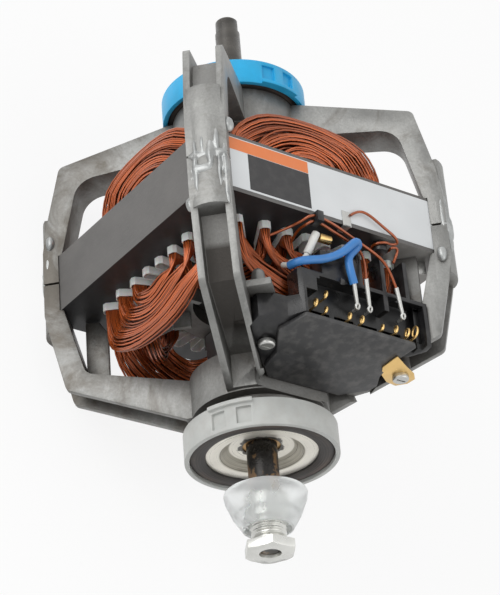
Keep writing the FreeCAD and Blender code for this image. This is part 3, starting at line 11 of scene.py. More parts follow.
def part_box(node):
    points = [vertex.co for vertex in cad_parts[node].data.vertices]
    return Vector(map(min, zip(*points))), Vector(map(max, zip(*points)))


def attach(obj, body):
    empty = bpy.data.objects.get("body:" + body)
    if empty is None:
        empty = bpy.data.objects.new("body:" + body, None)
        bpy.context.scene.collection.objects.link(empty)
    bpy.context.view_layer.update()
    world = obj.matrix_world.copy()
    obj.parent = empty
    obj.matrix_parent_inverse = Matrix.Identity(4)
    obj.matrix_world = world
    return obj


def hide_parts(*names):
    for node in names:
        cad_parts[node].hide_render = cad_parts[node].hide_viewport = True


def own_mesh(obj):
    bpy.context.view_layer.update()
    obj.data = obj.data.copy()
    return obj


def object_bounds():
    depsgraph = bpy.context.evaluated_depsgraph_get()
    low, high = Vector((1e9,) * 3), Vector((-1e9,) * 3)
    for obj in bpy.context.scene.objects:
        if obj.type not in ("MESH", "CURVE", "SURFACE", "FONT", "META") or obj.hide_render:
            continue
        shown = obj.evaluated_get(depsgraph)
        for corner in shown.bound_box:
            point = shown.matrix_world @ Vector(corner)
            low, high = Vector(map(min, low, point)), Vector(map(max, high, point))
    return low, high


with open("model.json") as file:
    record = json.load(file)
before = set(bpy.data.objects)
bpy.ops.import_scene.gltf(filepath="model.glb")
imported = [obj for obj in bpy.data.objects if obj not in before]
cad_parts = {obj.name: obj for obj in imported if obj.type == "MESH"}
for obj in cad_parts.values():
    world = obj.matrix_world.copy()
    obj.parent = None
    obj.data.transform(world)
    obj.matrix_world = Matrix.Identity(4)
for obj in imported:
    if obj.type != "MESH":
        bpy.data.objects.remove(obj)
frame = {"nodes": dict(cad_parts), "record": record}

CAD_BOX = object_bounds()
NODES = frame["nodes"]
SLOT_OF = {part["node"]: part["material_slot"] for part in frame["record"]["subparts"]}
BODY_OF = {node: body for body, nodes in frame["record"]["behaviour"]["bodies"].items() for node in nodes}
MM = 0.001

bl_info = {
    "name": "Dryer Motor Looks",
    "version": (1, 0, 0),
    "blender": (4, 5, 0),
    "location": "3D View > Sidebar > Dryer Motor",
    "description": "Windings, castings, switch and leads of an open dryer motor, built round its packed model",
    "category": "Object",
}


# Sizes and colours that a user would change

def colour(name, description, default):
    """A colour property."""
    return FloatVectorProperty(name=name, description=description, default=default,
                               size=3, min=0.0, max=1.0, subtype="COLOR")


def length(name, description, default, low=0.0, high=1.0):
    """A length property, in metres."""
    return FloatProperty(name=name, description=description, default=default, min=low, max=high,
                         precision=5, unit="LENGTH")


class MotorColours(bpy.types.PropertyGroup):
    """Colours of the motor's finishes."""

    alloy: colour("Cast alloy", "Die-cast end frames", (0.30, 0.30, 0.288))
    lamination: colour("Lamination", "Outside of the laminated stack", (0.135, 0.13, 0.125))
    lamination_end: colour("Stack end", "Varnished end faces of the stack", (0.018, 0.018, 0.019))
    enamel: colour("Wire enamel", "Enamelled copper wire", (0.52, 0.108, 0.019))
    # Painted shade on the wires deep between the bundles
    wire_painted_shade: colour("Wire shade", "Wire between the bundles", (0.075, 0.014, 0.005))
    ring_blue: colour("Blue ring", "Mounting ring of the blower end", (0.016, 0.40, 0.73))
    ring_grey: colour("Grey ring", "Mounting ring of the pulley end", (0.50, 0.51, 0.49))
    rubber: colour("Rubber", "Cushions in the rings", (0.022, 0.019, 0.017))
    grease: colour("Grease", "Dark grease on the shaft and in the cap", (0.012, 0.010, 0.008))
    tan: colour("Tan grease", "Dried grease and stains", (0.20, 0.115, 0.05))
    cap: colour("Cap", "Dished bearing caps", (0.80, 0.77, 0.69))
    cone: colour("Guide cone", "Moulded cone on the pulley", (0.95, 0.965, 0.96))
    zinc: colour("Pulley", "Plated belt pulley", (0.64, 0.64, 0.61))
    shaft: colour("Shaft", "Oiled steel shaft", (0.060, 0.055, 0.048))
    phenolic: colour("Switch base", "Moulded switch base", (0.010, 0.010, 0.011))
    cover: colour("Switch cover", "Moulded switch cover", (0.036, 0.036, 0.037))
    brass: colour("Brass", "Tabs and straps", (0.74, 0.50, 0.20))
    lead_blue: colour("Blue lead", "Blue insulated lead", (0.05, 0.22, 0.56))
    lead_white: colour("White lead", "White insulated sleeve", (0.78, 0.78, 0.74))
    plate: colour("Plate", "Plain printed plate on the stack", (0.74, 0.76, 0.77))
    plate_warm: colour("Plate stripe", "Warm stripe on the plate", (0.82, 0.235, 0.075))
    plate_dark: colour("Plate field", "Dark field on the plate", (0.030, 0.029, 0.030))


class WindingSizes(bpy.types.PropertyGroup):
    """Sizes of the windings."""

    wire: length("Wire radius", "Radius of one drawn wire", 0.00047)
    straight: length("Straight run", "Straight run of a wire beyond the stack", 0.0046)
    wobble: length("Wobble", "How far a wire strays from its neighbours", 0.00045)
    rows: IntProperty(name="Rows", description="Wires on top of each other in a slot", default=9, min=1, max=14)
    seed: IntProperty(name="Seed", description="Seed of the wires' strays", default=7, min=0)


class PieceSizes(bpy.types.PropertyGroup):
    """Small sizes of the castings, mouldings, plate and leads."""

    cast_edge: length("Cast edge", "Round on the edges of the castings", 0.00055)
    moulded_edge: length("Moulded edge", "Round on the edges of moulded pieces", 0.00035)
    turned_edge: length("Turned edge", "Chamfer on turned pieces", 0.0002)
    plate_wall: length("Plate thickness", "Thickness of the printed plate", 0.00018)
    spring_wire: length("Spring wire", "Radius of the governor spring's wire", 0.0005)
    spring_radius: length("Spring radius", "Radius of the governor spring", 0.010)


class StageSizes(bpy.types.PropertyGroup):
    """Camera, lamps and floor."""

    focal: FloatProperty(name="Focal length", description="Lens of the camera", default=132.63,
                         min=10.0, max=500.0, unit="CAMERA")
    floor: length("Floor", "Side of the floor", 12.0, 0.1, 100.0)
    key: FloatProperty(name="Key lamp", description="Power of the key lamp", default=5.2, min=0.0, unit="POWER")
    fill: FloatProperty(name="Fill lamp", description="Power of the fill lamp", default=2.4, min=0.0, unit="POWER")
    sky: FloatProperty(name="Sky", description="Strength of the light from all round", default=0.52, min=0.0)


def tint(name):
    """One of the colours above."""
    return tuple(getattr(bpy.context.scene.motor_colours, name))


def winding_sizes():
    return bpy.context.scene.motor_windings


def piece_sizes():
    return bpy.context.scene.motor_pieces


# Materials

def put(thing, **settings):
    """A thing with some of its attributes set."""
    for name, value in settings.items():
        setattr(thing, name, value)
    return thing


class Tree:
    """A node tree, with short calls that add and join nodes."""

    def __init__(self, tree):
        self.tree = tree

    def add(self, kind, inputs=(), **settings):
        """A new node. Its inputs are values to write or outputs to join, by socket name or number."""
        made = put(self.tree.nodes.new(kind), **settings)
        for key, value in dict(inputs).items():
            self.feed(value, made.inputs[key])
        return made

    def feed(self, value, socket):
        """Joins an output to a socket, or writes a plain value on it."""
        if isinstance(value, bpy.types.NodeSocket):
            self.tree.links.new(value, socket)
        elif hasattr(value, "__len__") and len(value) == 3 and socket.type == "RGBA":
            socket.default_value = (*value, 1.0)
        else:
            socket.default_value = value

    def out(self, kind, inputs=(), output=0, **settings):
        """An output of a new node."""
        return self.add(kind, inputs, **settings).outputs[output]

    def math(self, operation, *values):
        return self.out("ShaderNodeMath", enumerate(values), operation=operation)

    def times(self, first, second):
        return self.math("MULTIPLY", first, second)


class Finish(Tree):
    """A material with a principled shader, on Object coordinates."""

    def __init__(self, name, metallic=0.0, **sockets):
        self.material = bpy.data.materials.new(name)
        self.material.use_nodes = True
        super().__init__(self.material.node_tree)
        self.tree.nodes.clear()
        values = {socket.replace("_", " "): value for socket, value in sockets.items()}
        self.shader = self.add("ShaderNodeBsdfPrincipled", {"Metallic": metallic, **values})
        self.add("ShaderNodeOutputMaterial", {"Surface": self.shader.outputs["BSDF"]})
        self.place = self.out("ShaderNodeTexCoord", output="Object")

    def noise(self, scale, detail=4.0, roughness=0.55, stretch=None, distortion=0.0):
        """A cloudy noise, perhaps stretched along the axes."""
        place = self.place
        if stretch:
            place = self.out("ShaderNodeMapping", {"Vector": place, "Scale": stretch})
        return self.out("ShaderNodeTexNoise", {"Vector": place, "Scale": scale, "Detail": detail,
                                               "Roughness": roughness, "Distortion": distortion}, "Fac")

    def between(self, value, low=0.3, high=0.7, out_low=0.0, out_high=1.0):
        """Maps a value between two bounds to two others, clamped."""
        return self.out("ShaderNodeMapRange", enumerate((value, low, high, out_low, out_high)))

    def mix(self, factor, first, second):
        """A mix of two colours. The colours' sockets are the node's seventh and eighth."""
        return self.out("ShaderNodeMix", {0: factor, 6: first, 7: second}, 2, data_type="RGBA")

    def clouded(self, value, colour_of, low, high):
        """A colour that a noise makes darker and lighter."""
        return self.mix(self.between(value), shade(colour_of, low), shade(colour_of, high))

    def axis(self, name, normal=False):
        """One coordinate of the place, or of the surface's direction."""
        source = self.out("ShaderNodeNewGeometry", output="Normal") if normal else self.place
        return self.out("ShaderNodeSeparateXYZ", {0: source}, name)

    def off_shaft(self):
        """The distance from the shaft's axis."""
        squares = [self.math("POWER", self.axis(name), 2.0) for name in ("X", "Z")]
        return self.math("SQRT", self.math("ADD", *squares))

    def rings(self, radius, scale):
        """Uneven rings round the shaft."""
        place = self.out("ShaderNodeCombineXYZ", {"X": radius, "Y": self.times(self.noise(40.0, 2.0), 0.0006)})
        return self.out("ShaderNodeTexNoise", {"Vector": place, "Scale": scale}, "Fac", noise_dimensions="2D")

    def recess(self, distance):
        """1 in the open and 0 in a corner."""
        return self.out("ShaderNodeAmbientOcclusion", {"Distance": distance}, "AO", samples=6)

    def base(self, value):
        self.feed(value, self.shader.inputs["Base Color"])

    def rough(self, value, low, high):
        self.feed(self.between(value, 0.3, 0.7, low, high), self.shader.inputs["Roughness"])

    def bump(self, *heights):
        """Bump from pairs of a height and its depth in metres."""
        normal = None
        for height, depth in heights:
            made = self.add("ShaderNodeBump", {"Strength": 1.0, "Distance": depth, "Height": height})
            if normal is not None:
                self.feed(normal, made.inputs["Normal"])
            normal = made.outputs["Normal"]
        self.feed(normal, self.shader.inputs["Normal"])


def shade(value, factor):
    """A colour, darker or lighter."""
    return tuple(min(1.0, channel * factor) for channel in value)


# Where the legs' channels get a painted shade, in metres and with a soft edge: half their width times the root
# of two, how far along the shaft and how far out from it
CHANNEL_HALF = (0.0070, 0.0079)
CHANNEL_END = (0.0500, 0.0525)
CHANNEL_FOOT = (0.036, 0.046)


def cast_finish():
    """Die-cast alloy: cloudy tones, flow marks, fine grain, brown stains, and painted shade in corners and in the
    legs' channels.
    """
    alloy = tint("alloy")
    made = Finish("cast_alloy_finish", metallic=0.55)
    clouds = made.noise(38.0, 5.0, 0.6, distortion=0.6)
    grain = made.noise(900.0, 3.0)
    flow = made.noise(120.0, 4.0, 0.6, stretch=(1.0, 0.35, 1.0), distortion=1.2)
    tone = made.clouded(clouds, alloy, 0.70, 1.16)
    tone = made.mix(made.between(flow, 0.56, 0.72, 0.0, 0.4), tone, shade(alloy, 1.5))
    tone = made.mix(made.between(grain, 0.35, 0.65, 0.0, 0.3), tone, shade(alloy, 0.55))
    diagonals = [made.math(way, made.axis("X"), made.axis("Z")) for way in ("ADD", "SUBTRACT")]
    handled = made.between(diagonals[0], -0.02, -0.11, 0.0, 0.16)
    stains = made.math("ADD", made.noise(30.0, 7.0, 0.7, distortion=1.5), handled)
    tone = made.mix(made.between(stains, 0.54, 0.78, 0.0, 0.78), tone, (0.085, 0.070, 0.052))
    # Painted shade: the alloy goes darker in corners and recesses, by ambient occlusion.
    tone = made.mix(made.between(made.recess(0.012), 0.2, 0.95, 0.85, 0.0), tone, (0.050, 0.043, 0.036))
    # Painted shade inside each leg's channel: between its flanges, short of 50 mm along the shaft and away from the
    # hub.
    across = made.math("MINIMUM", *(made.math("ABSOLUTE", diagonal) for diagonal in diagonals))
    channel = made.times(made.between(across, *CHANNEL_HALF, 1.0, 0.0),
                         made.between(made.axis("Y"), *CHANNEL_END, 1.0, 0.0))
    channel = made.times(channel, made.between(made.off_shaft(), *CHANNEL_FOOT, 0.0, 0.88))
    made.base(made.mix(channel, tone, (0.022, 0.017, 0.013)))
    made.rough(clouds, 0.34, 0.56)
    made.bump((flow, 0.00022), (grain, 0.00008))
    return made.material


def plain_finish(name, colour_of, roughness, metallic=0.0, clouds=60.0, spread=0.12, depth=0.00003, dust=0.0,
                 black=(), **sockets):
    """A moulded, plated or sheet metal surface: cloudy tone, fine grain and a little dust, and perhaps a painted
    shade, near black, between bounds, each an axis, a low and a high in metres."""
    made = Finish(name, metallic=metallic, **sockets)
    cloud = made.noise(clouds)
    tone = made.clouded(cloud, colour_of, 1.0 - spread, 1.0 + spread)
    if dust:
        worn = made.times(made.between(made.noise(240.0, 6.0), 0.45, 0.75), dust)
        tone = made.mix(worn, tone, (0.42, 0.40, 0.37))
    # Painted shade: near black between the bounds.
    if black:
        inside = 1.0
        for side, low, high in black:
            for edge, within in ((low, low + 0.0002), (high, high - 0.0002)):
                inside = made.times(inside, made.between(made.axis(side), edge, within))
        tone = made.mix(inside, tone, (0.0015, 0.0015, 0.0016))
    made.base(tone)
    made.rough(cloud, *roughness)
    made.bump((cloud, depth * 3), (made.noise(1200.0, 3.0), depth))
    return made.material


SHEET = 0.00065


def lamination_finish():
    """The stack: its sheets show as fine lines round it. Its end faces are varnished black, with a pale painted
    reflection at one corner.
    """
    outside = tint("lamination")
    made = Finish("lamination_finish", metallic=0.25)
    sheets = made.math("FRACT", made.times(made.axis("Y"), 1 / SHEET))
    line = made.between(made.math("ABSOLUTE", made.math("SUBTRACT", sheets, 0.5)), 0.32, 0.5)
    clouds = made.noise(70.0, 5.0, 0.6)
    streaks = made.noise(260.0, 4.0, stretch=(1.0, 3.0, 1.0))
    tone = made.clouded(clouds, outside, 0.8, 1.2)
    tone = made.mix(made.between(streaks, 0.5, 0.8, 0.0, 0.3), tone, shade(outside, 1.5))
    tone = made.mix(made.times(line, 0.35), tone, shade(outside, 0.5))
    # Painted reflection: one corner of the varnished end faces is pale grey instead of black.
    corner = made.between(made.math("ADD", made.axis("X"), made.axis("Z")), 0.079, 0.088)
    pale_reflection = made.mix(made.between(clouds), (0.25, 0.24, 0.225), (0.36, 0.355, 0.34))
    varnish = made.mix(corner, tint("lamination_end"), pale_reflection)
    ends = made.between(made.math("ABSOLUTE", made.axis("Y", normal=True)), 0.6, 0.9)
    made.base(made.mix(ends, tone, varnish))
    made.rough(clouds, 0.42, 0.6)
    made.bump((line, 0.00006), (clouds, 0.00005))
    return made.material


def wire_finish():
    """Enamelled wire: each wire has its own tone, with a warm painted shade deep between the others."""
    enamel = tint("enamel")
    made = Finish("enamelled_wire_finish", metallic=0.5, Coat_Weight=0.6, Coat_Roughness=0.1)
    strands = made.out("ShaderNodeAttribute", output="Fac", attribute_name="strand_tone")
    patches = made.noise(46.0)
    tone = made.mix(strands, shade(enamel, 0.62), shade(enamel, 1.35))
    tone = made.mix(made.between(patches, 0.35, 0.7, 0.0, 0.45), tone, shade(enamel, 0.6))
    # Painted shade: the wire goes dark brown where ambient occlusion finds it deep between the others.
    made.base(made.mix(made.between(made.recess(0.0042), 0.15, 0.85, 0.94, 0.0), tone, tint("wire_painted_shade")))
    made.rough(patches, 0.22, 0.36)
    made.bump((made.noise(1500.0, 2.0), 0.00002))
    return made.material


def cone_finish():
    """Clear frosted moulding."""
    made = Finish("guide_cone_finish", Transmission_Weight=0.72, IOR=1.22)
    cloud = made.noise(70.0, 3.0)
    made.base(made.clouded(cloud, tint("cone"), 0.95, 1.03))
    made.rough(cloud, 0.24, 0.36)
    made.bump((made.noise(900.0, 2.0), 0.00002))
    return made.material


def cap_finish():
    """Pressed steel cap: pale polished rim and floor, a slope between them with brushing rings and painted shade,
    and grease at the hole.
    """
    steel = tint("cap")
    made = Finish("cap_finish", metallic=0.6)
    radius = made.off_shaft()
    rings = made.rings(radius, 2600.0)
    slope = made.times(made.between(radius, 0.0131, 0.0136), made.between(radius, 0.0178, 0.0173))
    tone = made.clouded(made.noise(90.0), steel, 0.9, 1.08)
    tone = made.mix(made.between(rings, 0.3, 0.7, 0.0, 0.12), tone, shade(steel, 0.6))
    # Painted shade on the slope, much darker than the rim and floor, with brushing rings in it.
    shaded_brushing = made.mix(made.between(rings), (0.15, 0.135, 0.10), (0.42, 0.39, 0.32))
    tone = made.mix(made.times(slope, 0.85), tone, shaded_brushing)
    spread = made.math("ADD", made.noise(260.0, 5.0), made.between(radius, 0.0118, 0.0078, -0.35, 0.3))
    made.base(made.mix(made.between(spread, 0.5, 0.62, 0.0, 0.9), tone, tint("grease")))
    made.rough(rings, 0.26, 0.42)
    made.bump((rings, 0.00003))
    return made.material


def shaft_finish():
    """Oiled steel, with dark and tan grease where the shaft leaves the cap."""
    made = Finish("shaft_finish", metallic=0.55, Coat_Weight=0.25, Coat_Roughness=0.2)
    cloud = made.noise(60.0, stretch=(1.0, 2.4, 1.0))
    blots = made.noise(170.0, 5.0, 0.6, distortion=1.0)
    end = made.between(made.axis("Y"), 0.004, -0.002)
    tone = made.mix(end, made.clouded(cloud, tint("shaft"), 0.6, 1.5), tint("grease"))
    made.base(made.mix(made.times(end, made.between(blots, 0.52, 0.60, 0.0, 0.9)), tone, tint("tan")))
    made.rough(blots, 0.2, 0.5)
    made.bump((blots, 0.0003), (cloud, 0.00008))
    return made.material


def rubber_finish():
    """Rubber with dusty brown streaks round the shaft."""
    made = Finish("rubber_finish")
    rings = made.rings(made.off_shaft(), 900.0)
    patches = made.noise(60.0, 5.0)
    dust = made.times(made.between(rings, 0.42, 0.7), made.between(patches, 0.4, 0.65, 0.1, 0.8))
    made.base(made.mix(dust, tint("rubber"), (0.15, 0.115, 0.095)))
    made.rough(patches, 0.5, 0.7)
    made.bump((rings, 0.0001))
    return made.material


# The space in the switch base that gets a painted shade, near black, as an axis, a low and a high in metres
PAINTED_SHADE_SPACE = (("X", -0.0164, 0.0434), ("Y", 0.0262, 0.0470), ("Z", 0.0500, 0.0589))


MOULDED = {"clouds": 90.0, "spread": 0.10}
# Each plain finish, by its slot: its colour or the name of one above, its roughness, how metallic it is, and more
PLAIN_FINISHES = {
    "ring_blue": ("ring_blue", (0.34, 0.46), 0.0, MOULDED),
    "ring_grey": ("ring_grey", (0.38, 0.5), 0.0, {"dust": 0.35, **MOULDED}),
    "bronze": ((0.42, 0.26, 0.11), (0.3, 0.45), 0.9, {}),
    "felt": ((0.32, 0.29, 0.24), (0.9, 1.0), 0.0, {"depth": 0.0001, "Sheen_Weight": 0.3}),
    "spring_steel": ((0.42, 0.42, 0.43), (0.28, 0.42), 0.85, {}),
    "liner_film": ((0.90, 0.90, 0.88), (0.4, 0.55), 0.0,
                   {"spread": 0.04, "Subsurface_Weight": 0.15, "Subsurface_Scale": 0.001}),
    "bond": ((0.36, 0.37, 0.365), (0.26, 0.44), 0.55,
             {"clouds": 160.0, "spread": 0.3, "depth": 0.0001, "dust": 0.25}),
    "rotor_iron": ((0.06, 0.058, 0.055), (0.35, 0.55), 0.5, {"spread": 0.3}),
    "zinc": ("zinc", (0.2, 0.34), 0.9, {}),
    "phenolic": ("phenolic", (0.24, 0.42), 0.0, {"dust": 0.05, "spread": 0.3, "black": PAINTED_SHADE_SPACE}),
    "cover_grey": ("cover", (0.36, 0.55), 0.0, {"dust": 0.16, "spread": 0.3}),
    "brass": ("brass", (0.24, 0.40), 0.9, {"spread": 0.14}),
    "lead_blue": ("lead_blue", (0.3, 0.42), 0.0, {}),
    "lead_white": ("lead_white", (0.4, 0.5), 0.0, {"spread": 0.05}),
    "tinned": ((0.52, 0.52, 0.50), (0.26, 0.42), 0.8, {}),
}


def build_finishes():
    """All the finishes, by the name of the record's slot."""
    made = {"cast_alloy": cast_finish(), "black_rubber": rubber_finish(), "cap_steel": cap_finish(),
            "shaft_steel": shaft_finish(), "lamination": lamination_finish(), "copper_wire": wire_finish(),
            "cone_white": cone_finish()}
    for slot, (shown, roughness, metallic, more) in PLAIN_FINISHES.items():
        if isinstance(shown, str):
            shown = tint(shown)
        made[slot] = plain_finish(f"{slot}_finish", shown, roughness, metallic, **more)
    return made


FINISHES = {}


def finish(slot):
    """The finish of a slot. All are made at the first call."""
    if not FINISHES:
        FINISHES.update(build_finishes())
    return FINISHES[slot]


# Making pieces

def settle(piece, body, slot, *nodes):
    """A finished piece: it rides on its body and hides the nodes it replaces. Its slot is not used."""
    if nodes:
        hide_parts(*nodes)
    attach(piece, body)


def new_piece(name, data, material=None):
    """A new object at the origin."""
    piece = bpy.data.objects.new(name, data)
    bpy.context.scene.collection.objects.link(piece)
    if material is not None:
        data.materials.append(material)
    return piece


def as_mesh(name, shape):
    """A bmesh as a mesh. The bmesh is freed."""
    mesh = bpy.data.meshes.new(name)
    shape.to_mesh(mesh)
    shape.free()
    return mesh


def modify(piece, kind, **settings):
    """A new modifier with its settings."""
    return put(piece.modifiers.new(kind, kind), **settings)


def baked(piece):
    """The piece with its modifiers turned into a plain, smooth mesh."""
    graph = bpy.context.evaluated_depsgraph_get()
    mesh = bpy.data.meshes.new_from_object(piece.evaluated_get(graph), depsgraph=graph)
    mesh.shade_smooth()
    old = piece.data
    name = piece.name
    if piece.type == "MESH":
        piece.modifiers.clear()
        piece.data = mesh
        bpy.data.meshes.remove(old)
        return piece
    bpy.data.curves.remove(old)
    return new_piece(name, mesh)


def rounded(piece, width, limit, smooth, **settings):
    """The piece baked with rounded edges, and smooth but for the edges past an angle, in degrees."""
    modify(piece, "BEVEL", width=width, segments=2, limit_method="ANGLE", angle_limit=math.radians(limit),
           **settings)
    piece = baked(piece)
    piece.data.set_sharp_from_angle(angle=math.radians(smooth))
    return piece


def dress(*names):
    """CAD nodes that stay get their finish."""
    for name in names:
        piece = NODES[name]
        material = finish(SLOT_OF[name])
        if not piece.material_slots:
            piece.data.materials.append(material)
        for slot in piece.material_slots:
            slot.material = material


def soften(node, width, smooth=42.0, cutter=None):
    """A merged copy of a CAD node with rounded edges and perhaps a space cut out, which stands for it."""
    shape = bmesh.new()
    shape.from_mesh(NODES[node].data)
    bmesh.ops.remove_doubles(shape, verts=shape.verts, dist=2e-6)
    bmesh.ops.dissolve_limit(shape, angle_limit=math.radians(0.6), verts=shape.verts, edges=shape.edges)
    piece = new_piece(f"{node}_soft", as_mesh(f"{node}_soft", shape), finish(SLOT_OF[node]))
    if cutter is not None:
        modify(piece, "BOOLEAN", operation="DIFFERENCE", solver="EXACT", use_self=True, object=cutter)
    piece = rounded(piece, width, 38.0, smooth, miter_outer="MITER_ARC")
    if cutter is not None:
        bpy.data.meshes.remove(cutter.data)
    settle(piece, BODY_OF[node], SLOT_OF[node], node)


def flat_on_shaft(x, z, y):
    """A place in the part, of an outline seen along the shaft, in millimetres."""
    return x * MM, y * MM, z * MM


def side_on(y, z, x):
    """A place in the part, of an outline seen from the side, in millimetres."""
    return x * MM, y * MM, z * MM


def prism(shape, outline, low, high, place):
    """A closed bar between two ends of a flat outline, added to a bmesh. A function places its points."""
    ends = [[shape.verts.new(place(u, v, w)) for u, v in outline] for w in (low, high)]
    faces = [shape.faces.new(end) for end in ends]
    for index in range(len(outline)):
        after = (index + 1) % len(outline)
        faces.append(shape.faces.new((ends[0][index], ends[0][after], ends[1][after], ends[1][index])))
    bmesh.ops.recalc_face_normals(shape, faces=faces)
    return faces


def prisms(name, bars):
    """A mesh of several prisms, each an outline, two ends and the function that places it."""
    shape = bmesh.new()
    for bar in bars:
        prism(shape, *bar)
    return as_mesh(name, shape)


def shaped(name, bars, slot, edge, *nodes):
    """Prisms made into a piece of the frame, with rounded edges."""
    piece = rounded(new_piece(name, prisms(name, bars), finish(slot)), edge, 30.0, 42.0)
    settle(piece, "frame", slot, *nodes)


def tube_tree(material, name):
    """A node tree that lays a round wire along every edge loop of its input."""
    group = bpy.data.node_groups.new(name, "GeometryNodeTree")
    face = group.interface
    face.new_socket("Geometry", in_out="INPUT", socket_type="NodeSocketGeometry")
    sockets = {}
    for label, kind in (("Wire Radius", "Float"), ("Sides", "Int"), ("Wobble", "Float"), ("Seed", "Int")):
        sockets[label] = face.new_socket(label, in_out="INPUT", socket_type=f"NodeSocket{kind}").identifier
    face.new_socket("Geometry", in_out="OUTPUT", socket_type="NodeSocketGeometry")
    tree = Tree(group)
    source = tree.add("NodeGroupInput").outputs
    free = tree.out("GeometryNodeInputNamedAttribute", {"Name": "free"}, "Attribute", data_type="FLOAT")
    field = tree.out("ShaderNodeTexNoise", {"W": source["Seed"], "Scale": 55.0}, "Color", noise_dimensions="4D")
    centred = tree.out("ShaderNodeVectorMath", {0: field, 1: (0.5, 0.5, 0.5)}, operation="SUBTRACT")
    reach = tree.times(source["Wobble"], free)
    stray = tree.out("ShaderNodeVectorMath", {0: centred, "Scale": reach}, operation="SCALE")
    moved = tree.out("GeometryNodeSetPosition", {"Geometry": source["Geometry"], "Offset": stray})
    curve = tree.out("GeometryNodeMeshToCurve", {"Mesh": moved})
    ring = tree.out("GeometryNodeCurvePrimitiveCircle",
                    {"Resolution": source["Sides"], "Radius": source["Wire Radius"]})
    tube = tree.out("GeometryNodeCurveToMesh", {"Curve": curve, "Profile Curve": ring, "Fill Caps": True})
    real = tree.out("GeometryNodeRealizeInstances", {0: tube})
    coat = tree.out("GeometryNodeSetMaterial", {"Geometry": real, "Material": material})
    tree.add("NodeGroupOutput", {0: coat})
    return group, sockets


def strung(points):
    """Points in millimetres as a loop for wires() that doesn't stray."""
    return [(Vector(point) * MM, 0.0) for point in points]


def wires(name, loops, slot, radius, seed, *nodes, body="frame", sides=6, wobble=0.0, closed=False):
    """Tubes along loops of places, each with its share of the wobble, as one finished piece."""
    points, edges, free, tones = [], [], [], []
    draw = random.Random(seed)
    for loop in loops:
        first = len(points)
        points += [place for place, slack in loop]
        free += [slack for place, slack in loop]
        tones += [draw.random()] * len(loop)
        edges += [(first + index, first + index + 1) for index in range(len(loop) - 1)]
        if closed:
            edges.append((len(points) - 1, first))
    mesh = bpy.data.meshes.new(name)
    mesh.from_pydata(points, edges, [])
    for attribute, values in (("free", free), ("strand_tone", tones)):
        mesh.attributes.new(attribute, "FLOAT", "POINT").data.foreach_set("value", values)
    piece = new_piece(name, mesh)
    tree, sockets = tube_tree(finish(slot), f"{name}_tree")
    modifier = modify(piece, "NODES", node_group=tree)
    for label, value in (("Wire Radius", radius), ("Sides", sides), ("Wobble", wobble), ("Seed", seed)):
        modifier[sockets[label]] = value
    piece = baked(piece)
    settle(piece, body, slot, *nodes)
    return piece


# Windings

STACK_FRONT = 0.0730
STACK_REAR = 0.1000
ARCH_STEPS = 18
# How far the arches reach past the stack and how far they swell outward, at the blower and the pulley end
ARCH_SHAPES = {1: (0.82, 0.0035), -1: (1.03, 0.0030)}
# The pole whose arch at the pulley end lies under the switch
UNDER_SWITCH = 90.0
# Each group of a coil: the slot's angle from the pole, the radii of its wires, the heights of their arches, how far
# out the arches go, how square they are, and the share of the rows
MAIN_GROUPS = (
    (16.875, 0.0453, 0.0507, 0.0060, 0.0130, 0.0452, 1.5, 1.8, 1.0),
    (28.125, 0.0495, 0.0552, 0.0132, 0.0212, 0.0455, 1.5, 1.95, 1.0),
    (39.375, 0.0546, 0.0608, 0.0213, 0.0285, 0.0458, 1.6, 2.4, 1.15),
)
START_GROUPS = (
    (16.875, 0.0442, 0.0474, 0.0080, 0.0132, 0.0392, 1.8, 2.0, 0.5),
    (28.125, 0.0402, 0.0441, 0.0140, 0.0198, 0.0382, 1.8, 2.0, 0.6),
)


def wire_loop(pole, angle, radius, lateral, apex, arch_out, skew, squareness, straight):
    """One wire of a coil: straight in its two slots and arched over both ends of the stack."""
    slot = math.radians(angle)
    out = radius * math.cos(slot) - lateral * math.sin(slot)
    across = radius * math.sin(slot) + lateral * math.cos(slot)
    turned = math.radians(pole)

    def place(outward, sideways, along):
        return (outward * math.cos(turned) - sideways * math.sin(turned), along,
                outward * math.sin(turned) + sideways * math.cos(turned))

    loop = []
    for heading in (1, -1):
        edge = STACK_REAR + straight if heading > 0 else STACK_FRONT - straight
        middle = (STACK_FRONT + STACK_REAR) / 2
        reach, swell = ARCH_SHAPES[heading]
        if pole == UNDER_SWITCH and heading < 0:
            swell = 0.0
        loop.append((place(out, heading * across, middle), 0.0))
        loop.append((place(out, heading * across, edge - heading * straight * 0.4), 0.0))
        for step in range(ARCH_STEPS + 1):
            theta = math.pi * step / ARCH_STEPS
            wide, high = math.cos(theta), math.sin(theta)
            sideways = across * math.copysign(abs(wide) ** (2 / squareness), wide)
            height = apex * reach * high ** (2 / squareness)
            outward = out + (arch_out + swell - out) * min(1.0, 1.25 * high) ** 1.5
            here = place(outward, heading * (sideways + skew * high), edge + heading * height)
            loop.append((here, high))
    return loop


def coil_loops(pole, groups, rows, draw):
    """The wires of a pole: each group fills one pair of slots with rows of four wires."""
    loops = []
    straight = winding_sizes().straight
    for angle, low, high, apex_low, apex_high, arch_out, square_low, square_high, row_share in groups:
        count = max(1, round(rows * row_share))
        for row in range(count):
            for column in (-1.5, -0.5, 0.5, 1.5):
                share = (row + 0.5 + 0.28 * column) / count
                apex = apex_low + (apex_high - apex_low) * share
                loops.append(wire_loop(
                    pole, angle, low + (high - low) * (row + 0.5) / count, 0.00098 * column,
                    apex + draw.uniform(-0.0005, 0.0005),
                    arch_out + 0.0013 * column + draw.uniform(-0.0004, 0.0004), draw.uniform(-0.0014, 0.0014),
                    square_low + (square_high - square_low) * share + draw.uniform(-0.05, 0.05), straight))
    return loops


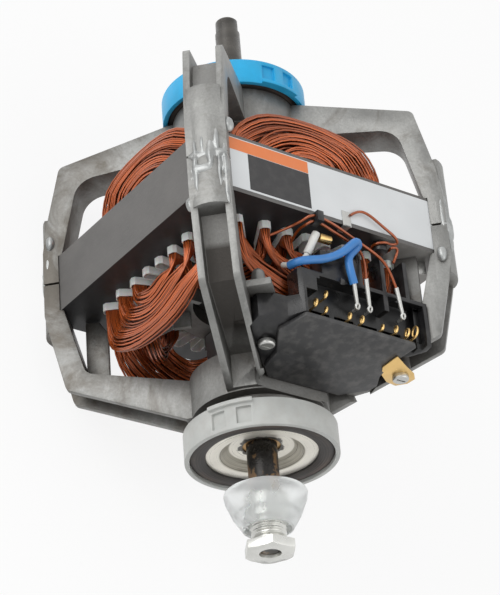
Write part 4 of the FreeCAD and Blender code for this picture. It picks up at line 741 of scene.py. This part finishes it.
class MOTOR_OT_windings(bpy.types.Operator):
    """Draw the wires of the main and the starting coils."""

    bl_idname = "motor.windings"
    bl_label = "Windings"

    def execute(self, context):
        sizes = winding_sizes()
        draw = random.Random(sizes.seed)
        for number in range(4):
            loops = coil_loops(90.0 * number, MAIN_GROUPS, sizes.rows, draw)
            wires(f"main_winding_{number + 1}", loops, "copper_wire", sizes.wire, sizes.seed + number,
                  f"main_coil_{number + 1}", wobble=sizes.wobble, closed=True)
        loops = []
        for number in range(4):
            loops += coil_loops(45.0 + 90.0 * number, START_GROUPS, sizes.rows, draw)
        wires("start_windings", loops, "copper_wire", sizes.wire, sizes.seed + 9, "start_coils",
              wobble=sizes.wobble, closed=True)
        return {"FINISHED"}


class MOTOR_OT_castings(bpy.types.Operator):
    """Round and finish the two cast end frames."""

    bl_idname = "motor.castings"
    bl_label = "Cast end frames"

    def execute(self, context):
        for node in ("blower_end_frame", "pulley_end_frame"):
            soften(node, piece_sizes().cast_edge)
        corner_bonds()
        leg_gussets()
        return {"FINISHED"}


def leg_angle(number):
    """The turn of one of the four legs round the shaft."""
    return math.radians(45.0 + 90.0 * number)


def at_leg(number, across, along, out):
    """A place at a leg: across it, along the shaft and out from the shaft, in millimetres."""
    turned = leg_angle(number)
    return Vector((out * math.cos(turned) - across * math.sin(turned), along,
                   out * math.sin(turned) + across * math.cos(turned))) * MM


STACK_MIDDLE = 86.5
BOND_SEED = 7
# Each run of the bond at a leg: across, along and out, and its half width, half length and half height
BOND_RUNS = (
    (4.7, 82.0, 86.3, 1.3, 14.0, 1.9), (-1.4, 86.0, 87.3, 1.7, 6.8, 1.8), (1.9, 79.9, 87.2, 4.2, 2.2, 1.5),
    (-7.0, 79.5, 85.6, 1.5, 17.0, 1.7), (-4.6, 80.0, 86.6, 0.9, 10.0, 1.5), (6.9, 75.5, 85.0, 1.4, 10.0, 1.9),
    (-8.9, 101.5, 83.2, 2.3, 3.6, 2.2), (8.3, 66.5, 83.4, 2.1, 3.4, 2.0), (0.0, 86.5, 86.6, 8.1, 2.6, 1.6),
    (-4.0, 92.5, 86.8, 1.3, 6.5, 1.3), (1.6, 91.0, 87.2, 0.9, 5.0, 1.2),
)


def corner_bonds():
    """The poured bond that runs over both frames' feet at each corner of the stack."""
    shape = bmesh.new()
    for number in range(4):
        flip = 1 if number == 1 else -1
        for across, along, out, wide, long, high in BOND_RUNS:
            middle = at_leg(number, flip * across, STACK_MIDDLE + flip * (along - STACK_MIDDLE), out)
            matrix = (Matrix.Translation(middle) @ Matrix.Rotation(-leg_angle(number), 4, "Y")
                      @ Matrix.Diagonal((high * MM, long * MM, wide * MM, 1.0)))
            bmesh.ops.create_icosphere(shape, subdivisions=3, radius=1.0, matrix=matrix)
    noise.seed_set(BOND_SEED)
    for point in shape.verts:
        point.co += noise.noise_vector(point.co * 260.0) * 0.00035
    piece = new_piece("corner_bond_runs", as_mesh("corner_bond_runs", shape), finish("bond"))
    modify(piece, "REMESH", mode="VOXEL", voxel_size=0.00042)
    modify(piece, "SMOOTH", factor=0.5, iterations=5)
    settle(baked(piece), "frame", "bond", "corner_bonds")


# The webs' outlines, along the shaft and out from it, and where they lie across a leg
LEG_GUSSET = ((72.7, 72.5), (72.7, 66.5), (66.5, 62.6), (38.8, 62.6), (40.2, 72.5))
SWITCH_SIDE_GUSSET = ((72.7, 72.5), (72.7, 62.6), (57.0, 62.6), (50.5, 67.0), (50.5, 72.5))
GUSSET_SIDES = (5.6, 8.0)


def leg_gussets():
    """The thin webs that widen one flange of each leg of the pulley end beside the stack."""
    bars = [(SWITCH_SIDE_GUSSET if number == 0 else LEG_GUSSET, *GUSSET_SIDES,
             lambda along, out, across, leg=number: at_leg(leg, across, along, out)) for number in range(4)]
    shaped("leg_gussets", bars, "cast_alloy", piece_sizes().cast_edge)


# Small bars, each as an outline and its two ends, in millimetres
STACK_TAB = (((48.8, 53.0), (52.0, 54.7), (52.4, 54.0), (49.2, 52.3)), 67.4, 73.0, flat_on_shaft)
BASE_CORNER = (((40.4, 51.4), (43.7, 54.7), (43.7, 56.0), (40.4, 56.0)), 30.5, 46.9, flat_on_shaft)
EARTH_TAB = ((((72.3, 62.25), (72.3, 62.6), (79.6, 62.6), (79.6, 62.25)), 3.2, 7.5, side_on),
             (((72.3, 57.4), (72.3, 62.6), (72.9, 62.6), (72.9, 57.4)), 3.6, 7.1, side_on))


class MOTOR_OT_stator(bpy.types.Operator):
    """Finish the laminated stack and its liners, and lay the plain plate on it."""

    bl_idname = "motor.stator"
    bl_label = "Stack and plate"

    def execute(self, context):
        dress("stator_core", "slot_liners")
        printed_plate()
        shaped("stack_tab", [STACK_TAB], "tinned", piece_sizes().turned_edge)
        return {"FINISHED"}


def rounded_outline(low, high, round_off):
    """The outline of a rectangle with rounded corners."""
    left, bottom = (value + round_off for value in low)
    right, top = (value - round_off for value in high)
    corners = []
    for start, x, y in ((0, right, top), (90, left, top), (180, left, bottom), (270, right, bottom)):
        for step in range(5):
            turned = math.radians(start + 22.5 * step)
            corners.append((x + round_off * math.cos(turned), y + round_off * math.sin(turned)))
    return corners


# The plate's fields: two corners, bottom and top in walls of the plate, the round of the corners, the material
PLATE_FIELDS = (((-0.0520, 0.0748), (0.0520, 0.0985), 0.0, 1.0, 0.0012, 0),
                ((-0.0516, 0.0926), (-0.0120, 0.0981), 1.0, 1.25, 0.0002, 1),
                ((-0.0420, 0.0757), (-0.0120, 0.0924), 1.0, 1.25, 0.0002, 2))
STACK_TOP = 0.0620


def printed_plate():
    """The plate on the stack's upper side: a pale sheet with a warm stripe and a dark field, both without print."""
    wall = piece_sizes().plate_wall
    shape = bmesh.new()
    for low, high, bottom, top, round_off, material in PLATE_FIELDS:
        for face in prism(shape, rounded_outline(low, high, round_off), STACK_TOP + wall * bottom,
                          STACK_TOP + wall * top, lambda x, y, z: (x, y, z)):
            face.material_index = material
    mesh = as_mesh("plate", shape)
    for name, field in (("plate_finish", "plate"), ("plate_stripe_finish", "plate_warm"),
                        ("plate_field_finish", "plate_dark")):
        mesh.materials.append(plain_finish(name, tint(field), (0.36, 0.5), spread=0.05, dust=0.05))
    settle(new_piece("plate", mesh), "frame", "lead_white")


class MOTOR_OT_ring_mounts(bpy.types.Operator):
    """Finish the mounting rings, their cushions, the caps and the bearings."""

    bl_idname = "motor.ring_mounts"
    bl_label = "Ring mounts and bearings"

    def execute(self, context):
        sizes = piece_sizes()
        for end in ("pulley", "blower"):
            soften(f"{end}_end_ring", sizes.moulded_edge)
            soften(f"{end}_end_cushion", sizes.moulded_edge)
            soften(f"{end}_end_cap", sizes.turned_edge, smooth=50.0)
            soften(f"{end}_end_felt", sizes.turned_edge)
            dress(f"{end}_end_bearing", f"{end}_end_retainer")
        return {"FINISHED"}


class MOTOR_OT_rotor(bpy.types.Operator):
    """Finish the shaft, the rotor, the pulley, the cone and the governor, and wind the governor's spring."""

    bl_idname = "motor.rotor"
    bl_label = "Rotor and governor"

    def execute(self, context):
        sizes = piece_sizes()
        dress("rotor_core", "rotor_end_rings", "thrust_washers", "shaft_clips", "governor_plate",
              "governor_pins", "upper_governor_weight", "lower_governor_weight", "governor_spool")
        soften("shaft", sizes.turned_edge)
        soften("belt_pulley", sizes.turned_edge)
        soften("guide_cone", sizes.turned_edge, smooth=30.0)
        low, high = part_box("governor_spring")
        spring = governor_spring(sizes, low.y, high.y)
        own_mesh(spring)
        return {"FINISHED"}


def governor_spring(sizes, low, high):
    """The spring between the spool and the plate, as a round wire along a helix of five turns."""
    turns = 5
    steps = 24
    wire = sizes.spring_wire
    loop = []
    for index in range(turns * steps + 1):
        turned = 2 * math.pi * index / steps
        along = low + wire + (high - low - 2 * wire) * index / (turns * steps)
        loop.append(((sizes.spring_radius * math.cos(turned), along, sizes.spring_radius * math.sin(turned)), 0.0))
    return wires("governor_spring_wire", [loop], "spring_steel", wire, 1, "governor_spring", body="rotor", sides=8)


class MOTOR_OT_switch(bpy.types.Operator):
    """Round and finish the starting switch, its lever, screws and brass."""

    bl_idname = "motor.switch"
    bl_label = "Starting switch"

    def execute(self, context):
        sizes = piece_sizes()
        soften("switch_cover", sizes.moulded_edge)
        soften("switch_base", sizes.moulded_edge, cutter=terminal_space())
        shaped("switch_base_corner", [BASE_CORNER], "phenolic", sizes.turned_edge)
        soften("switch_screws", sizes.turned_edge)
        dress("switch_lever", "lever_pin")
        terminal_curls()
        earth_pieces(sizes.turned_edge)
        return {"FINISHED"}


def cover_line(height, inward):
    """Where the tilted cover is along the shaft at a height, in millimetres, and so far behind its face."""
    tilt = math.radians(12.8)
    return 26.5 - (59.5 - height) * math.tan(tilt) + inward / math.cos(tilt)


# The space's bars: their two ends across the shaft, their back along it, and their floor
SPACE_BARS = ((-16.3, 40.6, 39.6, 53.0), (-9.2, 22.9, 46.8, 53.0), (25.1, 40.6, 46.8, 53.0),
              (40.5, 43.3, 46.8, 56.0))


def terminal_space():
    """The open space for the terminals behind the cover's upper edge, with one fin that reaches into it."""
    bars = []
    for low, high, back, deep in SPACE_BARS:
        outline = ((cover_line(deep, 2.0), deep), (back, deep), (back, 62.0), (cover_line(62.0, 2.0), 62.0))
        bars.append((outline, low, high, side_on))
    return new_piece("terminal_space", prisms("terminal_space", bars))


# The height of the space's floor, with a little to spare
FLOOR_HEIGHT = 53.05
# Each curled terminal: across, along and the curl's radius
CURLS = ((-11.5, 35.0, 1.9), (-6.6, 33.0, 1.5), (-6.0, 40.1, 1.7), (5.1, 33.1, 1.7), (11.3, 33.1, 1.9),
         (21.6, 32.4, 1.4), (28.6, 33.2, 1.8), (34.4, 33.2, 2.1), (38.6, 34.6, 2.7))


def terminal_curls():
    """The curled brass springs of the terminals, standing in the open space."""
    loops = []
    for across, along, radius in CURLS:
        points = [(across, along - radius, FLOOR_HEIGHT), (across, along - radius, 56.0)]
        for step in range(15):
            angle = math.radians(180.0 - 20.0 * step)
            points.append((across + 0.12 * step, along + radius * math.cos(angle),
                           56.8 + radius * 0.85 * math.sin(angle)))
        loops.append(strung(points))
    wires("terminal_curls", loops, "brass", 0.0005, 3, "switch_terminals")


EARTH_STRAP = ((32.6, 52.4), (30.9, 44.4), (34.6, 39.0), (40.0, 35.2), (45.4, 34.2), (48.9, 38.0), (49.2, 42.6),
               (46.4, 45.6), (39.8, 48.6))
STRAP_BEND = 45.0
STRAP_SLOPE = 0.19


def earth_pieces(edge):
    """The pointed brass strap under the far screw, and the small plated tab on the stack's edge."""
    strap = (EARTH_STRAP, 22.4, 23.2,
             lambda x, z, y: flat_on_shaft(x, z, y + max(0.0, z - STRAP_BEND) * STRAP_SLOPE))
    shaped("earth_strap_bent", [strap], "brass", edge, "earth_strap")
    shaped("earth_tab_folded", EARTH_TAB, "tinned", edge, "earth_tab")


# The leads' routes, in millimetres
BLUE_ROUTE = ((-19.2, 51.6, 53.6), (-18.8, 51.4, 58.0), (-13.4, 52.6, 60.0), (-8.8, 53.4, 61.2),
              (-4.3, 55.2, 62.4), (0.3, 58.0, 63.6), (3.6, 61.2, 64.8), (6.4, 64.0, 65.6), (8.8, 63.6, 64.2),
              (7.2, 61.2, 62.8), (4.6, 58.4, 62.2), (4.2, 55.0, 62.0), (4.9, 50.4, 62.0), (6.7, 46.4, 61.0))
WHITE_ROUTES = (((-15.5, 56.2, 49.7), (-15.3, 55.4, 52.4), (-12.86, 55.02, 55.04), (-11.9, 57.7, 56.0)),
                ((-19.5, 53.9, 49.7), (-19.3, 52.6, 52.0), (-18.9, 51.6, 54.2)))
COPPER_ROUTES = (
    ((-25.2, 66.0, 49.95), (-19.5, 68.6, 54.0), (-16.6, 69.4, 60.2), (-14.4, 71.0, 64.4), (-8.6, 71.4, 63.9),
     (-1.0, 70.2, 63.2), (4.5, 68.4, 62.7), (11.2, 66.3, 62.2), (19.5, 63.2, 62.0), (23.4, 59.5, 62.5),
     (25.9, 54.3, 62.4), (27.9, 49.4, 62.0)),
    ((-14.4, 66.0, 49.8), (-15.2, 68.4, 55.0), (-14.8, 68.2, 60.8), (-12.6, 69.6, 63.2), (-7.6, 69.6, 62.4),
     (-2.4, 68.4, 61.8), (3.7, 67.0, 61.2), (10.9, 64.9, 60.5), (13.1, 62.0, 60.6), (12.9, 54.9, 61.8),
     (12.1, 49.0, 62.3)),
    ((7.2, 78.0, 62.8), (10.6, 81.0, 63.0), (14.9, 80.6, 64.4), (22.3, 75.8, 64.8), (28.8, 72.9, 64.4),
     (31.4, 71.6, 62.4), (28.7, 71.2, 61.0), (25.0, 70.9, 62.0), (21.5, 70.7, 59.2), (22.4, 70.5, 54.6),
     (27.4, 70.2, 53.9), (29.8, 69.9, 57.4), (28.4, 69.7, 61.2), (31.8, 70.4, 61.4), (32.5, 68.0, 59.4),
     (31.0, 64.5, 58.4)),
)
# The crimps at the leads' ends, from a lead's end down into the terminals
CRIMPS = (((6.7, 46.4, 61.0), (10.5, 40.3, 57.0)), ((12.1, 49.0, 62.3), (16.7, 40.5, 57.2)),
          ((27.9, 49.4, 62.0), (33.5, 41.5, 57.5)))


def lead(name, routes, radius, slot, node):
    """Smooth round leads along their routes."""
    curve = put(bpy.data.curves.new(name, "CURVE"), dimensions="3D", bevel_depth=radius, bevel_resolution=3,
                resolution_u=8, use_fill_caps=True)
    for route in routes:
        spline = curve.splines.new("NURBS")
        spline.points.add(len(route) - 1)
        for point, place in zip(spline.points, route):
            point.co = (*(Vector(place) * MM), 1.0)
        spline.order_u = 3
        spline.use_endpoint_u = True
    settle(baked(new_piece(name, curve, finish(slot))), "frame", slot, node)


class MOTOR_OT_leads(bpy.types.Operator):
    """Draw the leads over the switch, with their tie, splice, crimps and button."""

    bl_idname = "motor.leads"
    bl_label = "Leads"

    def execute(self, context):
        lead("blue_lead_flex", [BLUE_ROUTE], 0.00175, "lead_blue", "blue_lead")
        lead("white_lead_flex", WHITE_ROUTES, 0.0012, "lead_white", "white_lead")
        lead("copper_lead_wires", COPPER_ROUTES, 0.0006, "copper_wire", "copper_leads")
        dress("splice_clip")
        crimps()
        for node in ("lead_tie", "lead_splice", "lead_button"):
            soften(node, piece_sizes().moulded_edge)
        return {"FINISHED"}


def crimps():
    """The tinned crimps at the leads' ends: a sleeve of four strands, an eye and a post."""
    loops = []
    for start, end in CRIMPS:
        start, end = Vector(start), Vector(end)
        way = (end - start).normalized()
        side = way.cross(Vector((0.0, 0.0, 1.0))).normalized()
        for shift in (-0.5, -0.17, 0.17, 0.5):
            loops.append(strung((start + side * shift - way * 0.6, start + way * 3.2 + side * shift,
                                 end + side * shift * 0.6)))
        eye = [end + way * 1.0 + (way * math.cos(turned) + side * math.sin(turned)) * 1.1
               for turned in (math.radians(30.0 * step) for step in range(12))]
        loops.append(strung(eye + eye[:1]))
        foot = end + way * 1.6
        loops.append(strung((foot, (foot.x, foot.y, FLOOR_HEIGHT))))
    wires("lead_crimp_sleeves", loops, "tinned", 0.00062, 5, "lead_crimps", sides=8)


# The camera as it was fitted to the photo
CAMERA_PLACE = (-0.48411, -0.39311, 0.63873)
CAMERA_RIGHT = (0.82054021, -0.07049102, 0.56722551)
CAMERA_AHEAD = (0.52110768, 0.50001392, -0.69168842)
CAMERA_SHIFT = (0.0105, 0.0019)


class MOTOR_OT_stage(bpy.types.Operator):
    """Set the camera, the lamps, the sky and the floor."""

    bl_idname = "motor.stage"
    bl_label = "Stage"

    def execute(self, context):
        scene = context.scene
        stage = scene.motor_stage
        scene.view_settings.view_transform = "Standard"
        right = Vector(CAMERA_RIGHT).normalized()
        back = -Vector(CAMERA_AHEAD).normalized()
        up = back.cross(right).normalized()
        lens = put(bpy.data.cameras.new("camera"), lens=stage.focal, sensor_width=36.0, clip_start=0.01,
                   clip_end=50.0, shift_x=CAMERA_SHIFT[0], shift_y=CAMERA_SHIFT[1])
        camera = new_piece("camera", lens)
        camera.matrix_world = Matrix.Translation(CAMERA_PLACE) @ Matrix((right, up, back)).transposed().to_4x4()
        scene.camera = camera
        middle = Vector((0.0, 0.083, 0.0))
        lamps = (("key", stage.key, 0.9, -right * 0.55 + up * 0.75 + back * 0.75),
                 ("fill", stage.fill, 0.9, right * 0.9 - up * 0.1 + back * 0.7),
                 ("rim", stage.fill * 0.6, 0.7, -right * 0.3 + up * 0.9 - back * 0.4))
        for name, power, size, way in lamps:
            lamp = put(bpy.data.lights.new(name, "AREA"), energy=power, size=size, shape="DISK")
            holder = new_piece(name, lamp)
            way.normalize()
            holder.location = middle + way * 1.0
            holder.rotation_euler = way.to_track_quat("Z", "Y").to_euler()
        world = bpy.data.worlds.new("sky")
        scene.world = world
        sky_light(world, stage.sky)
        floor(stage.floor, CAD_BOX[0].z)
        return {"FINISHED"}


def seen_directly(tree):
    """1 for rays that show the background: from the camera, a reflection or a clear body."""
    rays = tree.add("ShaderNodeLightPath").outputs
    most = tree.math("MAXIMUM", rays["Is Camera Ray"], rays["Is Glossy Ray"])
    return tree.math("MAXIMUM", most, rays["Is Transmission Ray"])


def sky_light(world, strength):
    """An even sky that shows as white."""
    world.use_nodes = True
    tree = Tree(world.node_tree)
    background = next(made for made in tree.tree.nodes if made.type == "BACKGROUND")
    level = tree.out("ShaderNodeMapRange", {"Value": seen_directly(tree), "To Min": strength, "To Max": 1.0})
    tree.feed((1.0, 1.0, 1.0), background.inputs["Color"])
    tree.feed(level, background.inputs["Strength"])


def floor(side, height):
    """A plain pale floor under the motor."""
    half = side / 2
    mesh = bpy.data.meshes.new("floor")
    mesh.from_pydata([(-half, -half, height), (half, -half, height), (half, half, height), (-half, half, height)],
                     [], [(0, 1, 2, 3)])
    material = bpy.data.materials.new("floor_finish")
    material.use_nodes = True
    tree = Tree(material.node_tree)
    tree.tree.nodes.clear()
    share = tree.times(seen_directly(tree), 0.88)
    matt = tree.out("ShaderNodeBsdfDiffuse", {"Color": (0.92, 0.92, 0.92)})
    blend = tree.out("ShaderNodeMixShader", {0: share, 1: matt, 2: tree.out("ShaderNodeEmission")})
    tree.add("ShaderNodeOutputMaterial", {"Surface": blend})
    new_piece("floor", mesh, material)


class MOTOR_PT_looks(bpy.types.Panel):
    """Lists the sizes, the colours and the pieces."""

    bl_idname = "MOTOR_PT_looks"
    bl_label = "Dryer Motor"
    bl_space_type = "VIEW_3D"
    bl_region_type = "UI"
    bl_category = "Dryer Motor"

    def draw(self, context):
        layout = self.layout
        for name in GROUPS:
            box = layout.box()
            group = getattr(context.scene, name)
            for key in type(group).__annotations__:
                box.prop(group, key)
        for operator in OPERATORS:
            layout.operator(operator.bl_idname)


OPERATORS = (MOTOR_OT_castings, MOTOR_OT_ring_mounts, MOTOR_OT_stator, MOTOR_OT_windings, MOTOR_OT_rotor,
             MOTOR_OT_switch, MOTOR_OT_leads, MOTOR_OT_stage)
GROUPS = {"motor_colours": MotorColours, "motor_windings": WindingSizes, "motor_pieces": PieceSizes,
          "motor_stage": StageSizes}


def register():
    for kind in (*GROUPS.values(), *OPERATORS, MOTOR_PT_looks):
        bpy.utils.register_class(kind)
    for name, kind in GROUPS.items():
        setattr(bpy.types.Scene, name, PointerProperty(type=kind))


def unregister():
    for name in GROUPS:
        delattr(bpy.types.Scene, name)
    for kind in reversed((*GROUPS.values(), *OPERATORS, MOTOR_PT_looks)):
        bpy.utils.unregister_class(kind)


def main():
    register()
    for operator in OPERATORS:
        family, name = operator.bl_idname.split(".")
        getattr(getattr(bpy.ops, family), name)()


if __name__ == "__main__":
    main()
